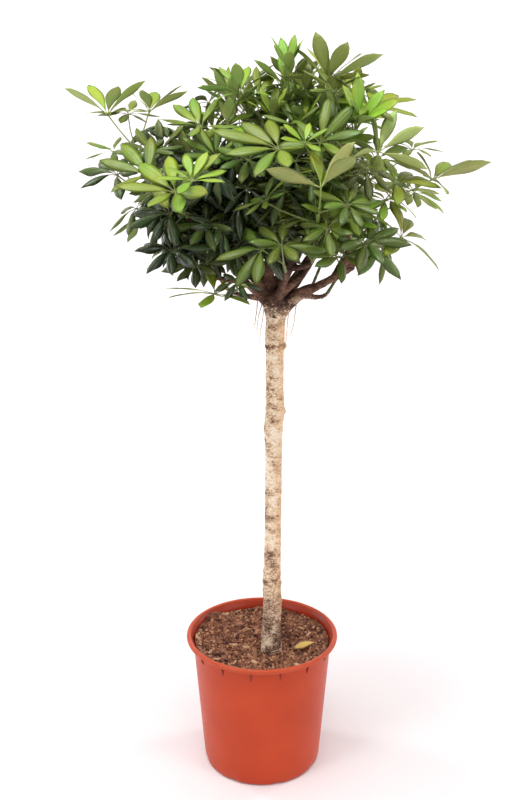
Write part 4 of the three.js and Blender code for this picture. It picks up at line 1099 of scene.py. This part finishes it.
# %% Press the bark
BAND = {"height": 0.976, "half": 0.0045}
SCARS = {"count": 24, "apart": (0.022, 0.06), "from": 0.3, "to": 1.03, "half": 0.0022}
STUBS = [((0.046, -0.016, 0.834), 0.0036), ((0.009, -0.020, 0.802), 0.0034), ((0.047, -0.014, 0.974), 0.005),
         ((0.044, -0.022, 0.442), 0.004), ((0.014, -0.034, 0.655), 0.0028)]
STUB_RADIUS = 0.006
KNOT = {"place": Vector((0.0265, -0.031, 1.039)), "ring": 0.006, "half": 0.002, "eye": 0.0035, "dark": 0.004}
count = len(trunk.data.vertices)
bark_points, normals = np.empty(count * 3), np.empty(count * 3)
trunk.data.vertices.foreach_get("co", bark_points)
trunk.data.vertices.foreach_get("normal", normals)
bark_points, normals = bark_points.reshape(-1, 3), normals.reshape(-1, 3)
scar_heights = np.cumsum(rng.uniform(*SCARS["apart"], SCARS["count"])) + SCARS["from"]
scar_heights = np.append(scar_heights, BAND["height"])


def bump_of(distance, half):
    """A soft bump that is 1 at no distance and fades over its half width."""
    return math.exp(-(distance / half) ** 2)


def pressed(x, y, z):
    """How far a point of the bark moves out, in metres, and how dark it is."""
    p = Vector((x, y, z))
    bearing = math.atan2(y + 0.018, x - 0.024)
    tilt = 0.004 * math.sin(bearing + 37 * z)
    round_trunk = noise.noise(Vector((math.cos(bearing) * 1.3, math.sin(bearing) * 1.3, z * 30)))
    to_scar = min(abs(z + tilt - height) for height in scar_heights)
    scar = bump_of(to_scar, SCARS["half"]) * max(0.0, 0.2 + 1.6 * round_trunk) * (z < SCARS["to"])
    band = bump_of(z + tilt / 2 - BAND["height"], BAND["half"]) * max(0.0, 0.7 + 1.2 * round_trunk)
    stub = sum(out * bump_of((p - Vector(place)).length, STUB_RADIUS) for place, out in STUBS)
    to_eye = (p - KNOT["place"]).length * (1 + 0.9 * noise.noise(p * 160))
    knot = bump_of(to_eye - KNOT["ring"], KNOT["half"]) - 1.4 * bump_of(to_eye, KNOT["eye"])
    patches = noise.noise(p * 60) * 0.0007 + noise.noise(Vector((x * 190, y * 190, z * 90))) * 0.0006
    moved = 0.0006 + 0.0007 * scar + 0.001 * band + stub + 0.0014 * knot + patches
    dark = 0.45 * scar + 0.6 * band + 200 * stub + 1.2 * bump_of(to_eye, KNOT["dark"])
    return moved, min(1, dark) - 0.7 * max(0, knot)


pressings = np.array([pressed(*point) for point in bark_points])
moved, dark = pressings[:, 0], pressings[:, 1]
mark_points(trunk.data, "dark", dark)
bark_points = bark_points + normals * moved[:, None]
trunk.data.vertices.foreach_set("co", bark_points.ravel())
trunk.data.update()
only(trunk)
bpy.ops.object.shade_smooth()
print("bark moved by up to", round(max(moved) * 1000, 2), "mm")

# %% Hang the aerial roots
ROOT_STEPS = 15
root_shape = turned_once([(1.5, 0), (1.0, 0.15), (0.8, 0.4), (0.9, 0.7), (0.6, 0.93), (0.3, 1)], 6)
hanging = Heap()
for k, (start, end) in enumerate(ROOT_RUNS):
    end = end - np.array([0.012 * (end[0] > 0.04), 0, 0])
    sway = np.array([4 * math.sin(2.1 * k), -3 * math.cos(k), 0]) * MM
    path = smooth_path(start, (start + end) / 2 + sway, end, ROOT_STEPS)
    wobble = np.sin(np.linspace(0, 7 + k, ROOT_STEPS)) * np.linspace(0, 1, ROOT_STEPS)
    path[:, 0] += 0.0012 * wobble
    lay(hanging, root_shape, path, kind=1)
roots = hanging.piece("aerial_roots")
roots.data.materials.clear()
trunk = joined([trunk, roots], "bark_and_wood")
print("roots:", len(ROOT_RUNS))

# %% [markdown]
# The bark is thin, cream to tan, and scaly, with brown patches where flakes have come off. Its right
# side is painted warmer, as painted light on that side. It darkens to red brown in the fork and near the
# soil, and up in the fork it is painted darker still, a painted shade under the crown. Limbs are brown to
# black. Apart from the scars' own mark, all of it follows place alone.

# %% Make the bark
bark = Skin("flaky_bark", 0.85)
height = bark.part("Z")
upright = bark.add("Mapping", inputs={"Vector": bark.place, "Scale": (1, 1, 1.7)}).outputs[0]
patch = bark.noise(48, 7, roughness=0.72, vector=upright)
flake = bark.noise(210, 4, roughness=0.65, vector=upright)
drift = bark.noise(22, 3)
whole = bark.maths("MULTIPLY_ADD", drift, 0.9, bark.maths("ADD", flake, patch))
cover = bark.maths("MULTIPLY_ADD", bark.mark("dark"), -0.4, whole)
spread = bark.remap(cover, 1.15, 1.68)
cream = bark.ramp(spread, (0, "5E4436"), (0.22, "8A6856"), (0.38, "C4A084"), (0.55, "E2C4A2"),
                  (0.75, "F4DEC0"), (1, "FBF0E2"))
# Painted light: the right side of the trunk is painted warmer, for the light that falls on it.
warm_lit_side = bark.mixed(bark.remap(bark.part("X"), 0.022, 0.042, 0, 0.42), cream, "E2AE78")
# Painted shade: the bark is painted darker up into the fork, where the crown shades it.
shaded = bark.maths("ADD", spread, bark.remap(height, 1.02, 1.09, 0, -0.17))
brown = bark.ramp(shaded, (0.2, "2C1A14"), (0.4, "4E3328"), (0.54, "7A5846"), (0.66, "BEA288"),
                  (1, "F0DEC6"))
limb = bark.ramp(spread, (0.1, "26150F"), (0.5, "523325"), (0.95, "84604C"))
aged = bark.mixed(bark.remap(height, 1.055, 1.085), brown, limb)
near_fork = bark.remap(height, 1.015, 1.06)
near_soil = bark.remap(height, 0.44, 0.31, 0, 0.9)
colour = bark.mixed(bark.maths("MAXIMUM", near_fork, near_soil), warm_lit_side, aged)
speck = bark.remap(bark.noise(340, 2, vector=upright), 0.6, 0.68, 0, 0.38)
flecked = bark.mixed(speck, colour, "5A4032")
trunk.data.materials.append(bark.wear(flecked, height=cover, strength=0.7, distance=0.0015))
trunk.data.materials.append(mix_material("dry_root", "2A1A16", "46322C", "6E5850"))
finished(trunk, "bark", "trunk")

# %% [markdown]
# One leaflet has died and lies on the mix where its solid lies, curled and straw brown. It is a copy
# of the same leaflet, made wider, with its hollow side down.

# %% Lay the fallen leaflet
FALLEN = {"bearing": 203, "length": 0.058, "bow": 0.7, "age": 0.25, "over": 0.002, "wider": 0.35,
          "up": (-0.1, -0.3, 1.0), "chance": (0.5, 0.3, 0.6, 0.8)}
low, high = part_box("fallen_leaflet")
turn = math.radians(FALLEN["bearing"])
forward = np.array([math.cos(turn), math.sin(turn), 0])
middle = np.array([(low.x + high.x) / 2, (low.y + high.y) / 2, 0])
under = [middle[:2] + forward[:2] * k * 0.01 for k in range(-2, 3)]
highest = max(bed_height(math.hypot(x, y) * 1000) * MM + soil_lump(x, y) for x, y in under)
up = unit(np.array(FALLEN["up"]))
up = unit(up - forward * up.dot(forward))
across = np.cross(up, forward)
fallen = {"along": forward, "normal": up, "across": across, "length": FALLEN["length"], "bow": FALLEN["bow"]}
start = middle - forward * FALLEN["length"] / 2 + np.array([0, 0, highest + FALLEN["over"]])
points = bent_leaflet(fallen, start, FALLEN["age"], FALLEN["chance"])
points += FALLEN["wider"] * (points - start).dot(across)[:, None] * across
heap = Heap()
heap.put(points, leaflet_faces, leaflet_kinds, leaflet_uvs, 0.6, 1.0)
dead = heap.piece("fallen_leaf")
dead_skin = leaf_material("dead_leaf", ("D0A862", "CCA25C", "C69A54"), "E4C688", vein_share=0.6,
                          roughness=0.6, gleam=0.05, relief=-1.0)
for _ in (TOP_SIDE, UNDERSIDE, STALK):
    dead.data.materials.append(dead_skin)
finished(dead, "dead_leaflet", "fallen_leaflet")
